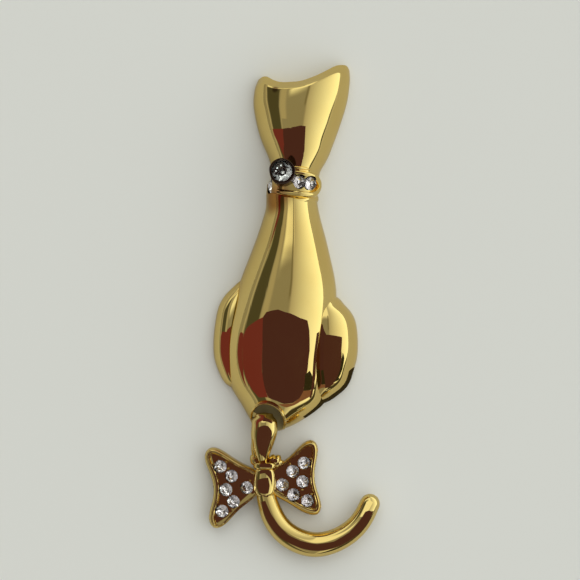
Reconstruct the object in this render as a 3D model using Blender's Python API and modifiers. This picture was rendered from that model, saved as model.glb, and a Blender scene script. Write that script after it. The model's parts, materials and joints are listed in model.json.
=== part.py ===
# Cat brooch, modelled from behind, with a jewelled collar and a tail that swings on its rivet.
# It lies on its back in the XY plane: the head is towards +Y and the front faces +Z.
# Lengths are in metres. Forms are placed from the collar's centre, which is X 0, Y 0.

import math

import bmesh
import bpy
import numpy as np
from mathutils import Matrix, Vector

# Main forms of the hollow-backed casting
BODY_LENGTH = 0.0372
BODY_WIDTH = 0.0174
BODY_HEIGHT = 0.0072
HEAD_LENGTH = 0.0179
HEAD_WIDTH = 0.01455
HEAD_HEIGHT = 0.0057
HAUNCH_LENGTH = 0.419 * BODY_LENGTH
LEFT_HAUNCH_HEIGHT = 0.0031
RIGHT_HAUNCH_HEIGHT = 0.0050
WALL = 0.0011
SKIRT = 0.001

# Every crystal has one cut: shares of its own width, with its table's and point's as shares of that
SMALL_STONE = 0.00196
CUP_STONE = 0.0031
STONE_TABLE = 0.56
STONE_CROWN = 0.20
STONE_GIRDLE = 0.04
STONE_POINT = 0.22
STONE_DEPTH = 0.33

# Collar band, which wraps the neck, and what is set in it
COLLAR_WIDTH = 0.4655 * BODY_WIDTH
COLLAR_HEIGHT = 0.0061
COLLAR_BAND = 0.0033
COLLAR_TILT = math.radians(-7)
COLLAR_EDGE = 0.0003
COLLAR_SHIFT = 0.0002
COLLAR_STONE_SUNK = 0.0002
SEAT_RING = 0.00008
CUP_WALL = 0.00033
CUP_HEIGHT = 0.0041
CUP_SUNK = 0.0016
CUP_STONE_SUNK = 0.16
CUP_LEAN = math.radians(6)
CUP_LEAN_UP = math.radians(4.2)
CUP_SIDE = math.radians(157.7)
CUP_SPACE = 0.00003

# Recess, plate and rivet that carry the tail, placed at shares of the body's width and length
RECESS_SPOT = (-0.228, -0.950)
PIVOT_SPOT = (-0.256, -0.967)
RECESS_LONG = 0.00293
RECESS_SHORT = 0.00248
RECESS_TURN = math.radians(135)
RECESS_LIP = 0.0003
RECESS_RISE = 0.00022
RECESS_START = 0.8
PLATE_TOP = 0.0019
PLATE_THICKNESS = 0.0010
RIVET_RADIUS = 0.0006
RIVET_HEAD_RADIUS = 0.00105
RIVET_HEAD_THICKNESS = 0.00045

# Tail casting: the drop's length is from the rivet's axis to the knot's middle
DROP_LENGTH = 0.00875
DROP_WIDTH = 0.0040
DROP_THICKNESS = 0.0033
DROP_ROUND = 0.475 * DROP_WIDTH
DROP_BEND_START = 0.15
DROP_BEND_LENGTH = 0.6
NECK_LEVEL = 0.0029
KNOT_LEVEL = 0.0026
KNOT_LENGTH = 0.00405
KNOT_WIDTH = 0.0028
KNOT_EDGE = 0.0003
KNOT_BAND = 0.0009
KNOT_BAND_RISE = 0.0001
PLEAT_ROOT = 0.0006
PLEAT_TIP = 0.00018
PLEAT_OFF = 0.0012
WING_SPAN = 4.592 * SMALL_STONE
WING_THICKNESS = 0.0018
WING_EDGE = 0.00018
WING_TOP = 0.0034
WING_DROOP = math.radians(6)
WING_RIM = 0.0005
WING_SUNK = 0.0005
WING_STONE_RISE = 0.00016
HOOK_REACH = 0.0158
HOOK_TUBE = 0.00375
HOOK_LEVEL = 0.00195
HOOK_RINGS = 22

# Pin across the hollow back, with its posts at shares of the body's length
PIN_POSTS = (0.165, 0.805)
PIN_RADIUS = 0.0005
PIN_LEVEL = 0.0011
PIN_POST = 0.0026
PIN_LIFT = 0.0004

# Clearances
STONE_GAP = 0.00004
RUN_GAP = 0.00015
SWEEP_GAP = 0.00024
RIVET_GAP = 0.00008
SEAT_GAP = 0.0002

# Forms that are joined run this far into each other, and cutters run well past what they cut
OVERLAP = 0.0001
CUT_LOW = -0.002
CUT_HIGH = 0.02
SEAT_HIGH = 0.0015


def table(columns, rows):
    return dict(zip(columns.split(), np.array(rows, dtype=float).T))


# Lengths along the body are shares of its length, from the collar's centre to the lower tip.
# The sides are shares of its width, from the collar's centre line, and the crown of its height.
BODY_SECTIONS = table("along left right crown", (
    (0.000, -0.237, 0.228, 0.69),
    (0.056, -0.246, 0.198, 0.70),
    (0.089, -0.247, 0.203, 0.735),
    (0.137, -0.272, 0.224, 0.77),
    (0.210, -0.323, 0.266, 0.82),
    (0.306, -0.401, 0.315, 0.875),
    (0.407, -0.483, 0.357, 0.925),
    (0.508, -0.552, 0.362, 0.965),
    (0.629, -0.608, 0.338, 1.00),
    (0.718, -0.610, 0.316, 0.995),
    (0.790, -0.578, 0.307, 0.96),
    (0.843, -0.526, 0.290, 0.90),
    (0.887, -0.466, 0.256, 0.82),
    (0.923, -0.422, 0.172, 0.72),
    (0.956, -0.380, 0.066, 0.60),
    (0.980, -0.335, -0.030, 0.46),
    (0.998, -0.272, -0.134, 0.26),
))
BODY_SPAN = (0, 0.998)
BODY_HOLLOW = (0.10, 0.855)
HEAD_SPAN = (0, 1)
HEAD_HOLLOW = (0.28, 0.97)
HAUNCH_HOLLOW = (0.12, 0.88)

# Stones in the band: shares of its width and length, and their sideways lean in degrees
COLLAR_STONES = table("across along lean", (
    (0.21, 0.02, 12),
    (0.645, 0.02, 32),
    (-0.93, -0.33, -68),
))

# Each haunch runs along its own length. Its sides are shares of the body's width.
LEFT_HAUNCH_START = 0.391
LEFT_HAUNCH_SECTIONS = table("along left right crown", (
    (-0.02, -0.440, -0.395, 0.10),
    (0.00, -0.470, -0.384, 0.32),
    (0.05, -0.522, -0.366, 0.61),
    (0.12, -0.586, -0.366, 0.81),
    (0.21, -0.642, -0.384, 0.94),
    (0.36, -0.681, -0.401, 1.00),
    (0.52, -0.700, -0.418, 1.00),
    (0.66, -0.703, -0.427, 0.97),
    (0.79, -0.687, -0.435, 0.93),
    (0.89, -0.653, -0.444, 0.84),
    (0.97, -0.616, -0.453, 0.68),
    (1.01, -0.580, -0.461, 0.42),
    (1.03, -0.550, -0.475, 0.12),
))
RIGHT_HAUNCH_START = 0.460
RIGHT_HAUNCH_SECTIONS = table("along left right crown", (
    (-0.02, 0.270, 0.345, 0.20),
    (0.00, 0.237, 0.378, 0.50),
    (0.05, 0.203, 0.422, 0.78),
    (0.11, 0.185, 0.470, 0.92),
    (0.19, 0.177, 0.517, 0.99),
    (0.31, 0.177, 0.543, 1.00),
    (0.45, 0.185, 0.550, 1.00),
    (0.60, 0.185, 0.539, 0.98),
    (0.71, 0.185, 0.511, 0.94),
    (0.82, 0.177, 0.477, 0.86),
    (0.89, 0.159, 0.431, 0.74),
    (0.95, 0.134, 0.366, 0.60),
    (1.00, 0.099, 0.297, 0.42),
    (1.03, 0.120, 0.230, 0.15),
))

# Rows of the head run from the collar to its top edge, whose reach changes from ear to ear
HEAD_SECTIONS = table("along left right crown", (
    (0.00, -0.253, 0.263, 0.88),
    (0.10, -0.242, 0.263, 0.88),
    (0.18, -0.247, 0.314, 0.89),
    (0.25, -0.268, 0.356, 0.91),
    (0.35, -0.314, 0.402, 0.945),
    (0.45, -0.356, 0.446, 0.975),
    (0.55, -0.387, 0.486, 0.99),
    (0.65, -0.409, 0.523, 1.00),
    (0.75, -0.425, 0.552, 1.00),
    (0.85, -0.422, 0.568, 0.985),
    (0.93, -0.407, 0.575, 0.96),
    (1.00, -0.376, 0.570, 0.93),
))
HEAD_TOP = table("across reach", (
    (-1.00, 0.879),
    (-0.91, 0.900),
    (-0.83, 0.904),
    (-0.70, 0.879),
    (-0.56, 0.858),
    (-0.30, 0.854),
    (-0.08, 0.862),
    (0.13, 0.887),
    (0.35, 0.923),
    (0.57, 0.967),
    (0.74, 0.996),
    (0.87, 1.000),
    (0.96, 0.985),
    (1.00, 0.960),
))
HEAD_BEVEL_START = 0.955
HEAD_BEVEL_FALL = 0.35
HEAD_TOP_WALL = 1.4 * WALL

# The tail's round-topped drop and thin neck, from the rivet's axis: shares of the drop's length,
# width (sideways shift and half width) and thickness
DROP_SECTIONS = table("along shift half thick", (
    (-0.194, -0.011, 0.030, 0.06),
    (-0.180, -0.011, 0.225, 0.36),
    (-0.149, -0.011, 0.322, 0.60),
    (-0.081, -0.011, 0.434, 0.85),
    (0.014, -0.011, 0.480, 0.97),
    (0.125, -0.020, 0.494, 1.00),
    (0.228, -0.045, 0.472, 0.97),
    (0.348, -0.075, 0.412, 0.88),
    (0.468, -0.098, 0.333, 0.74),
    (0.588, -0.094, 0.240, 0.58),
    (0.674, -0.075, 0.191, 0.47),
    (0.794, -0.015, 0.191, 0.46),
))

# Corners and bends of the bow's wings, from the knot's centre, as shares of the wing's span
LEFT_WING = table("x y", (
    (-0.10, 0.13), (-0.42, 0.32), (-0.75, 0.525), (-0.925, 0.56), (-1.015, 0.43), (-0.91, 0.08),
    (-0.88, -0.28), (-0.945, -0.62), (-0.87, -0.765), (-0.72, -0.745), (-0.45, -0.48), (-0.10, -0.15),
))
RIGHT_WING = table("x y", (
    (0.10, 0.15), (0.37, 0.37), (0.62, 0.605), (0.79, 0.69), (0.885, 0.60), (0.85, 0.22),
    (0.87, -0.10), (0.95, -0.43), (0.88, -0.55), (0.67, -0.52), (0.40, -0.36), (0.10, -0.14),
))
LEFT_WING_STONES = table("x y", (
    (-0.755, 0.250), (-0.567, 0.092), (-0.658, -0.133), (-0.533, -0.333), (-0.725, -0.493),
    (-0.312, -0.100),
))
RIGHT_WING_STONES = table("x y", (
    (0.665, 0.310), (0.473, 0.172), (0.300, -0.050), (0.640, 0.000), (0.488, -0.217), (0.722, -0.317),
))

# Folds of ribbon that stand out above the knot, with their angle in degrees
PLEATS = table("side length angle", (
    (-1, 0.0035, 17),
    (1, 0.0024, -30),
))

# The hook's centre line from the knot's centre, as shares of its reach, with the tube's own share.
# Its level eases down from the knot's over the first rows, and its tip is rounded by shorter rings.
HOOK_ROUTE = table("x y tube", (
    (0.005, -0.06, 0.70), (0.010, -0.144, 0.76), (0.067, -0.317, 0.88), (0.192, -0.486, 0.96),
    (0.385, -0.587, 1.00), (0.577, -0.591, 0.97), (0.769, -0.510, 0.91), (0.913, -0.375, 0.85),
    (1.000, -0.212, 0.80),
))
HOOK_EASE_ROWS = 3
HOOK_TIP_TURNS = (30, 60, 82)

GOLD = ("polished_gold_plate", (0.83, 0.61, 0.19), 0.12, 1.0)
CRYSTAL = ("clear_crystal", (0.90, 0.92, 0.95), 0.05, 0.0)
DARK_METAL = ("blackened_metal", (0.06, 0.05, 0.045), 0.30, 1.0)
PIN_METAL = ("gilt_pin_wire", (0.72, 0.60, 0.33), 0.25, 1.0)


def spline(knots, values, at):
    # Natural cubic spline, so that polished forms have no kinks
    count = len(knots)
    gaps = np.diff(knots)
    slopes = np.diff(values) / gaps
    system = np.eye(count)
    target = np.zeros(count)
    for i in range(1, count - 1):
        system[i, i - 1 : i + 2] = gaps[i - 1], 2 * (gaps[i - 1] + gaps[i]), gaps[i]
        target[i] = 6 * (slopes[i] - slopes[i - 1])
    bends = np.linalg.solve(system, target)
    i = np.clip(np.searchsorted(knots, at) - 1, 0, count - 2)
    b = (at - knots[i]) / gaps[i]
    a = 1 - b
    bow = ((a**3 - a) * bends[i] + (b**3 - b) * bends[i + 1]) * gaps[i] ** 2 / 6
    return a * values[i] + b * values[i + 1] + bow


def resample(source, first, last, count):
    # Rows closer together at both ends, where the forms turn
    turn = np.linspace(0, math.pi, count)
    at = first + (last - first) * (1 - np.cos(turn)) / 2
    key = next(iter(source))
    smooth = {name: spline(source[key], values, at) for name, values in source.items()}
    smooth[key] = at
    return smooth


def material(look):
    name, colour, roughness, metallic = look
    made = bpy.data.materials.get(name)
    if made is None:
        made = bpy.data.materials.new(name)
        made.use_nodes = True
        surface = made.node_tree.nodes["Principled BSDF"]
        surface.inputs["Base Color"].default_value = (*colour, 1)
        surface.inputs["Roughness"].default_value = roughness
        surface.inputs["Metallic"].default_value = metallic
    return made


def add_object(name, mesh, collection, look=None):
    made = bpy.data.objects.new(name, mesh)
    collection.objects.link(made)
    if look is not None:
        mesh.materials.clear()
        mesh.materials.append(material(look))
    return made


def mesh_from(name, bm):
    bmesh.ops.recalc_face_normals(bm, faces=bm.faces)
    mesh = bpy.data.meshes.new(name)
    bm.to_mesh(mesh)
    bm.free()
    return mesh


def cushion(name, grid, collection):
    # A closed form under a grid of surface points, with a flat underside below the floor
    rows, columns = grid.shape[:2]
    bm = bmesh.new()
    top = [[bm.verts.new(grid[r, c]) for c in range(columns)] for r in range(rows)]
    flat = [[bm.verts.new((*grid[r, c, :2], -SKIRT)) for c in range(columns)] for r in range(rows)]
    for r in range(rows - 1):
        for c in range(columns - 1):
            for sheet in (top, flat):
                bm.faces.new((sheet[r][c], sheet[r][c + 1], sheet[r + 1][c + 1], sheet[r + 1][c]))
    edge = [(0, c) for c in range(columns)] + [(r, columns - 1) for r in range(1, rows)]
    edge += [(rows - 1, c) for c in range(columns - 2, -1, -1)] + [(r, 0) for r in range(rows - 2, 0, -1)]
    for (r0, c0), (r1, c1) in zip(edge, edge[1:] + edge[:1]):
        bm.faces.new((top[r0][c0], top[r1][c1], flat[r1][c1], flat[r0][c0]))
    return add_object(name, mesh_from(name, bm), collection)


def arch(columns):
    # Places across a section (-1 to 1) and the half-round height there (0 to 1)
    turn = np.linspace(math.pi, 0, columns)
    return np.cos(turn), np.sin(turn)


def body_grid(sections, start, length, height, span, size, inset=0.0):
    rows, columns = size
    first, last = span or sections["along"][[0, -1]]
    smooth = resample(sections, first, last, rows)
    across, rise = arch(columns)
    left = smooth["left"][:, None] * BODY_WIDTH + inset
    right = smooth["right"][:, None] * BODY_WIDTH - inset
    x = (left + right) / 2 + (right - left) / 2 * across
    y = -(start * BODY_LENGTH + smooth["along"][:, None] * length) + 0 * x
    z = (smooth["crown"][:, None] * height - inset) * rise
    return np.stack((x, y, z), axis=2)


def head_grid(span, size, inset=0.0):
    rows, columns = size
    smooth = resample(HEAD_SECTIONS, *span, rows)
    across, rise = arch(columns)
    reach = spline(HEAD_TOP["across"], HEAD_TOP["reach"], across)
    left = smooth["left"][:, None] * HEAD_WIDTH + inset
    right = smooth["right"][:, None] * HEAD_WIDTH - inset
    x = (left + right) / 2 + (right - left) / 2 * across
    top_wall = HEAD_TOP_WALL if inset else 0
    y = smooth["along"][:, None] * (reach * HEAD_LENGTH - top_wall)
    z = (smooth["crown"][:, None] * HEAD_HEIGHT - inset) * rise
    if inset == 0:
        fall = np.clip((smooth["along"] - HEAD_BEVEL_START) / (1 - HEAD_BEVEL_START), 0, 1)
        z = z * (1 - (1 - HEAD_BEVEL_FALL) * fall[:, None])
    return np.stack((x, y, z), axis=2)


def cast_forms(collection, label, inset, detail, spans):
    # The cat's main forms; inset by the wall they are the hollow behind it
    body_span, head_span, haunch_span = spans
    left = (LEFT_HAUNCH_SECTIONS, LEFT_HAUNCH_START, HAUNCH_LENGTH, LEFT_HAUNCH_HEIGHT)
    right = (RIGHT_HAUNCH_SECTIONS, RIGHT_HAUNCH_START, HAUNCH_LENGTH, RIGHT_HAUNCH_HEIGHT)
    body = (BODY_SECTIONS, 0, BODY_LENGTH, BODY_HEIGHT)
    grids = {
        "body": body_grid(*body, body_span, (detail + 4, detail), inset),
        "head": head_grid(head_span, (detail, detail), inset),
        "left_haunch": body_grid(*left, haunch_span, (detail // 2 + 1, detail // 2), inset),
        "right_haunch": body_grid(*right, haunch_span, (detail // 2 + 1, detail // 2), inset),
    }
    return [cushion(f"{label}_{name}", grid, collection) for name, grid in grids.items()]


def cylinder(name, radius, low, high, collection, centre=(0, 0), sides=32, top_radius=None):
    bm = bmesh.new()
    bmesh.ops.create_cone(
        bm, cap_ends=True, segments=sides, radius1=radius,
        radius2=radius if top_radius is None else top_radius, depth=high - low,
        matrix=Matrix.Translation((*centre, (low + high) / 2)))
    return add_object(name, mesh_from(name, bm), collection)


def box(name, low, high, collection):
    bm = bmesh.new()
    bmesh.ops.create_cube(bm, size=1)
    low = Vector(low)
    high = Vector(high)
    bmesh.ops.scale(bm, vec=high - low, verts=bm.verts)
    bmesh.ops.translate(bm, vec=(low + high) / 2, verts=bm.verts)
    return add_object(name, mesh_from(name, bm), collection)


def place(made, matrix):
    made.data.transform(matrix)
    return made


def settle(made):
    # Turns an object with modifiers, or a curve, into a plain mesh with welded caps
    bpy.context.view_layer.update()
    graph = bpy.context.evaluated_depsgraph_get()
    mesh = bpy.data.meshes.new_from_object(made.evaluated_get(graph))
    name = made.name
    bm = bmesh.new()
    bm.from_mesh(mesh)
    bmesh.ops.transform(bm, matrix=made.matrix_world, verts=bm.verts)
    bmesh.ops.remove_doubles(bm, verts=bm.verts, dist=0.000002)
    bmesh.ops.recalc_face_normals(bm, faces=bm.faces)
    bm.to_mesh(mesh)
    bm.free()
    collection = made.users_collection[0]
    bpy.data.objects.remove(made)
    return add_object(name, mesh, collection)


def combine(base, others, operation):
    for other in others:
        cut = base.modifiers.new(operation.lower(), "BOOLEAN")
        cut.operation = operation
        cut.solver = "EXACT"
        cut.object = other
        base = settle(base)
    return base


def bevel_edges(made, width, segments, angle=40):
    rounding = made.modifiers.new("rounding", "BEVEL")
    rounding.width = width
    rounding.segments = segments
    rounding.limit_method = "ANGLE"
    rounding.angle_limit = math.radians(angle)
    return settle(made)


def turned(name, profile, steps, collection, look=None):
    # A profile given from the top of the axis, down the outside, to the axis again
    bm = bmesh.new()
    points = [bm.verts.new((radius, 0, level)) for radius, level in profile]
    for upper, lower in zip(points, points[1:]):
        bm.edges.new((upper, lower))
    mesh = bpy.data.meshes.new(name)
    bm.to_mesh(mesh)
    bm.free()
    made = add_object(name, mesh, collection, look)
    screw = made.modifiers.new("turned", "SCREW")
    screw.steps = steps
    screw.render_steps = steps
    screw.use_merge_vertices = True
    screw.merge_threshold = 0.000005
    return made


def stone_profile(diameter):
    radius = diameter / 2
    table_top = STONE_CROWN * diameter
    point = -STONE_DEPTH * diameter
    return ((0, table_top), (STONE_TABLE * radius, table_top), (radius, STONE_GIRDLE * diameter),
            (radius, 0), (STONE_POINT * radius, point), (0, point))


def add_stone(name, diameter, matrix, parts, steps=10):
    # The girdle is at the stone's own origin and its table faces its own +Z
    made = settle(turned(name, stone_profile(diameter), steps, parts))
    place(made, matrix)
    made.data.materials.append(material(CRYSTAL))
    return made


def stone_seat(name, diameter, matrix, cutters, ring=0.0):
    # Follows the stone's cone below the girdle, and opens straight above it
    radius = diameter / 2 + STONE_GAP + ring
    bottom = -STONE_DEPTH * diameter - STONE_GAP
    profile = ((0, SEAT_HIGH), (radius, SEAT_HIGH), (radius, -STONE_GAP - ring / 2),
               (STONE_POINT * diameter / 2 + STONE_GAP, bottom), (0, bottom))
    return place(settle(turned(name, profile, 20, cutters)), matrix)


def collar_frame(share, along, lean_side, lean_up=0.0):
    # A place on the band's crown, leaned sideways and towards the head
    level = COLLAR_HEIGHT * math.sqrt(1 - share**2)
    spot = Matrix.Translation((share * COLLAR_WIDTH / 2, along * COLLAR_BAND, level))
    lean = Matrix.Rotation(lean_side, 4, "Y") @ Matrix.Rotation(-lean_up, 4, "X")
    return collar_lie() @ spot @ lean


def collar_lie():
    return Matrix.Translation((0, COLLAR_SHIFT, 0)) @ Matrix.Rotation(COLLAR_TILT, 4, "Z")


def collar_stone_frames():
    sunk = Matrix.Translation((0, 0, -COLLAR_STONE_SUNK))
    rows = zip(COLLAR_STONES["across"], COLLAR_STONES["along"], COLLAR_STONES["lean"])
    return [collar_frame(across, along, math.radians(lean)) @ sunk for across, along, lean in rows]


def cup_radius():
    return CUP_STONE / 2 + STONE_GAP + CUP_WALL


def cup_frame():
    # The cup lies beside the first collar stone, up and to its left
    distance = cup_radius() + SMALL_STONE / 2 + CUP_SPACE
    across = COLLAR_STONES["across"][0] + distance * math.cos(CUP_SIDE) / (COLLAR_WIDTH / 2)
    along = COLLAR_STONES["along"][0] + distance * math.sin(CUP_SIDE) / COLLAR_BAND
    return collar_frame(across, along, -CUP_LEAN, CUP_LEAN_UP)


def body_spot(across, along):
    return Vector((across * BODY_WIDTH, along * BODY_LENGTH, 0))


def oval_post(name, long_radius, short_radius, low, high, collection):
    post = cylinder(name, 1.0, low, high, collection, sides=40)
    squeeze = Matrix.Diagonal((long_radius, short_radius, 1, 1))
    turn = Matrix.Translation(body_spot(*RECESS_SPOT)) @ Matrix.Rotation(RECESS_TURN, 4, "Z")
    return place(post, turn @ squeeze)


def build_cat_body(parts, cutters):
    forms = cast_forms(cutters, "outer", 0.0, 22, (BODY_SPAN, HEAD_SPAN, None))
    band = cylinder("collar_band", 1.0, -COLLAR_BAND / 2, COLLAR_BAND / 2, cutters, sides=40)
    lie = collar_lie() @ Matrix.Rotation(math.pi / 2, 4, "X")
    place(band, lie @ Matrix.Diagonal((COLLAR_WIDTH / 2, COLLAR_HEIGHT, 1, 1)))
    band = bevel_edges(band, COLLAR_EDGE, 2, 60)

    lip_blank = cushion("lip_blank", body_grid(
        BODY_SECTIONS, 0, BODY_LENGTH, BODY_HEIGHT, (RECESS_START, BODY_SPAN[1]), (16, 22),
        -RECESS_RISE), cutters)
    lip_trim = oval_post("lip_trim", RECESS_LONG, RECESS_SHORT, CUT_LOW, CUT_HIGH, cutters)
    lip = combine(lip_blank, [lip_trim], "INTERSECT")
    rivet = body_spot(*PIVOT_SPOT)[:2]
    plate = cylinder("plate", DROP_ROUND - RUN_GAP, -SKIRT, PLATE_TOP, cutters, rivet)

    cast = combine(forms[0], forms[1:] + [band, lip, plate], "UNION")
    reach = 2 * (BODY_LENGTH + HEAD_LENGTH)
    below = box("below", (-reach, -reach, -reach), (reach, reach, 0), cutters)
    hollow = cast_forms(cutters, "hollow", WALL, 16, (BODY_HOLLOW, HEAD_HOLLOW, HAUNCH_HOLLOW))

    long_inner = RECESS_LONG - RECESS_LIP
    short_inner = RECESS_SHORT - RECESS_LIP
    recess = oval_post("recess", long_inner, short_inner, PLATE_TOP, CUT_HIGH, cutters)
    sweep = cylinder("sweep", DROP_ROUND + SWEEP_GAP, PLATE_TOP, CUT_HIGH, cutters, rivet, 40)
    recess = combine(recess, [sweep], "UNION")
    hole = cylinder("rivet_hole", RIVET_RADIUS + RIVET_GAP, CUT_LOW, CUT_HIGH, cutters, rivet, 24)
    counterbore = cylinder("counterbore", RIVET_HEAD_RADIUS + 2 * RUN_GAP, CUT_LOW,
                           PLATE_TOP - PLATE_THICKNESS, cutters, rivet, 28)
    seats = [stone_seat(f"collar_seat_{i + 1}", SMALL_STONE, frame, cutters, SEAT_RING)
             for i, frame in enumerate(collar_stone_frames())]
    cup_seat = cylinder("cup_seat", cup_radius() + STONE_GAP, -CUP_SUNK - STONE_GAP, CUP_HEIGHT, cutters)
    seats.append(place(cup_seat, cup_frame()))
    cast = combine(cast, [below] + hollow + [recess, hole, counterbore] + seats, "DIFFERENCE")
    return hand_over(cast, "cat_body", GOLD, cutters, parts)


def build_collar_stones(parts):
    made = [add_stone(f"collar_stone_{i + 1}", SMALL_STONE, frame, parts)
            for i, frame in enumerate(collar_stone_frames())]
    outer = cup_radius()
    bore = outer - CUP_WALL
    top = CUP_HEIGHT - CUP_SUNK
    girdle = top - CUP_STONE_SUNK * CUP_STONE
    floor = girdle - STONE_DEPTH * CUP_STONE - STONE_GAP
    profile = ((0, floor), (STONE_POINT * CUP_STONE / 2 + STONE_GAP, floor), (bore, girdle - STONE_GAP),
               (bore, top), (outer, top), (outer, -CUP_SUNK), (0, -CUP_SUNK))
    cup = settle(turned("stone_cup", profile, 28, parts))
    place(cup, cup_frame())
    cup.data.materials.append(material(DARK_METAL))
    made.append(cup)
    seat = cup_frame() @ Matrix.Translation((0, 0, girdle))
    made.append(add_stone("cup_stone", CUP_STONE, seat, parts, 16))
    return made


def knot_centre():
    # Measured from the rivet's axis
    return Vector((0, -DROP_LENGTH, KNOT_LEVEL))


def build_drop(cutters):
    first, last = DROP_SECTIONS["along"][[0, -1]]
    smooth = resample(DROP_SECTIONS, first, last, 15)
    turn = np.linspace(0, 2 * math.pi, 16, endpoint=False)
    middle = PLATE_TOP + RUN_GAP + DROP_THICKNESS / 2
    fall = np.clip((smooth["along"] - DROP_BEND_START) / DROP_BEND_LENGTH, 0, 1)
    level = middle + (NECK_LEVEL - middle) * fall * fall * (3 - 2 * fall)
    bm = bmesh.new()
    rings = []
    for i, along in enumerate(smooth["along"]):
        x = smooth["shift"][i] * DROP_WIDTH + smooth["half"][i] * DROP_WIDTH * np.cos(turn)
        z = level[i] + smooth["thick"][i] * DROP_THICKNESS / 2 * np.sin(turn)
        rings.append([bm.verts.new((px, -along * DROP_LENGTH, pz)) for px, pz in zip(x, z)])
    for near, far in zip(rings, rings[1:]):
        for i in range(len(near)):
            j = (i + 1) % len(near)
            bm.faces.new((near[i], near[j], far[j], far[i]))
    bm.faces.new(rings[0])
    bm.faces.new(rings[-1])
    return add_object("drop", mesh_from("drop", bm), cutters)


def build_hook(cutters):
    centre = knot_centre()
    spots = np.arange(len(HOOK_ROUTE["x"]), dtype=float)
    at = np.linspace(0, spots[-1], HOOK_RINGS)
    x = spline(spots, HOOK_ROUTE["x"], at) * HOOK_REACH
    y = spline(spots, HOOK_ROUTE["y"], at) * HOOK_REACH
    tube = spline(spots, HOOK_ROUTE["tube"], at) * HOOK_TUBE / 2
    ease = np.clip(at / HOOK_EASE_ROWS, 0, 1)
    level = centre.z + (HOOK_LEVEL - centre.z) * ease * ease * (3 - 2 * ease)
    points = [Vector((centre.x + px, centre.y + py, pz)) for px, py, pz in zip(x, y, level)]
    end = points[-1]
    ahead = (end - points[-2]).normalized()
    radii = list(tube)
    for turn in HOOK_TIP_TURNS:
        points.append(end + ahead * tube[-1] * math.sin(math.radians(turn)))
        radii.append(tube[-1] * math.cos(math.radians(turn)))
    curve = bpy.data.curves.new("hook", "CURVE")
    curve.dimensions = "3D"
    curve.bevel_depth = 1.0
    curve.bevel_resolution = 2
    curve.use_fill_caps = True
    line = curve.splines.new("POLY")
    line.points.add(len(points) - 1)
    for spot, point, radius in zip(line.points, points, radii):
        spot.co = (*point, 1)
        spot.radius = radius
    return settle(add_object("hook", curve, cutters))


def wing_outline(name, corners, offset, low, high, cutters):
    curve = bpy.data.curves.new(name, "CURVE")
    curve.dimensions = "2D"
    curve.fill_mode = "BOTH"
    curve.resolution_u = 4
    curve.extrude = (high - low) / 2
    curve.offset = offset
    line = curve.splines.new("BEZIER")
    line.use_cyclic_u = True
    line.bezier_points.add(len(corners["x"]) - 1)
    for spot, x, y in zip(line.bezier_points, corners["x"], corners["y"]):
        spot.co = (x * WING_SPAN, y * WING_SPAN, 0)
        spot.handle_left_type = "AUTO"
        spot.handle_right_type = "AUTO"
    made = add_object(name, curve, cutters)
    made.location.z = (low + high) / 2
    return settle(made)


def wing_frame(side):
    # The wings droop a little towards their outer edges
    centre = knot_centre()
    return Matrix.Translation((centre.x, centre.y, WING_TOP)) @ Matrix.Rotation(side * WING_DROOP, 4, "Y")


def wing_stone_frames(side, stones):
    level = WING_STONE_RISE - WING_SUNK
    return [wing_frame(side) @ Matrix.Translation((x * WING_SPAN, y * WING_SPAN, level))
            for x, y in zip(stones["x"], stones["y"])]


def build_knot(cutters):
    centre = knot_centre()
    lie = Matrix.Translation(centre) @ Matrix.Rotation(math.pi / 2, 4, "X")
    half = KNOT_LENGTH / 2
    radius = KNOT_WIDTH / 2
    barrel = cylinder("knot", radius, -half, half, cutters, sides=24)
    band = cylinder("knot_band", radius + KNOT_BAND_RISE, -half - KNOT_BAND, -half + OVERLAP, cutters,
                    sides=24)
    made = [bevel_edges(place(ring, lie), KNOT_EDGE, 2, 60) for ring in (barrel, band)]
    for side, length, angle in zip(PLEATS["side"], PLEATS["length"], PLEATS["angle"]):
        pleat = cylinder("pleat", PLEAT_ROOT, 0, length, cutters, sides=10, top_radius=PLEAT_TIP)
        root = centre + Vector((side * PLEAT_OFF, half - 2 * OVERLAP, 0))
        turn = Matrix.Rotation(math.radians(angle), 4, "Z") @ Matrix.Rotation(-math.pi / 2, 4, "X")
        made.append(place(pleat, Matrix.Translation(root) @ turn))
    return made


def build_rivet(cutters):
    head_top = PLATE_TOP - PLATE_THICKNESS - RUN_GAP
    head_low = head_top - RIVET_HEAD_THICKNESS
    middle = PLATE_TOP + RUN_GAP + DROP_THICKNESS / 2
    post = cylinder("post", RIVET_RADIUS, head_low + OVERLAP, middle, cutters, sides=16)
    return [post, cylinder("head", RIVET_HEAD_RADIUS, head_low, head_top, cutters, sides=20)]


def build_wing(side, name, corners, stones, parts, cutters):
    wing = wing_outline(f"{name}_wing", corners, 0, -WING_THICKNESS, 0, cutters)
    wing = place(bevel_edges(wing, WING_EDGE, 2, 50), wing_frame(side))
    sunk = wing_outline(f"{name}_sunk", corners, -WING_RIM, -WING_SUNK, CUT_HIGH, cutters)
    cuts = [place(sunk, wing_frame(side))]
    for i, frame in enumerate(wing_stone_frames(side, stones)):
        cuts.append(stone_seat(f"{name}_seat_{i + 1}", SMALL_STONE, frame, cutters))
        add_stone(f"bow_stone_{name}_{i + 1}", SMALL_STONE, frame, parts)
    return combine(wing, cuts, "DIFFERENCE")


def hand_over(made, name, look, cutters, parts):
    # A finished piece moves from the working forms to the brooch itself
    made.name = name
    cutters.objects.unlink(made)
    parts.objects.link(made)
    made.data.materials.clear()
    made.data.materials.append(material(look))
    return made


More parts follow.
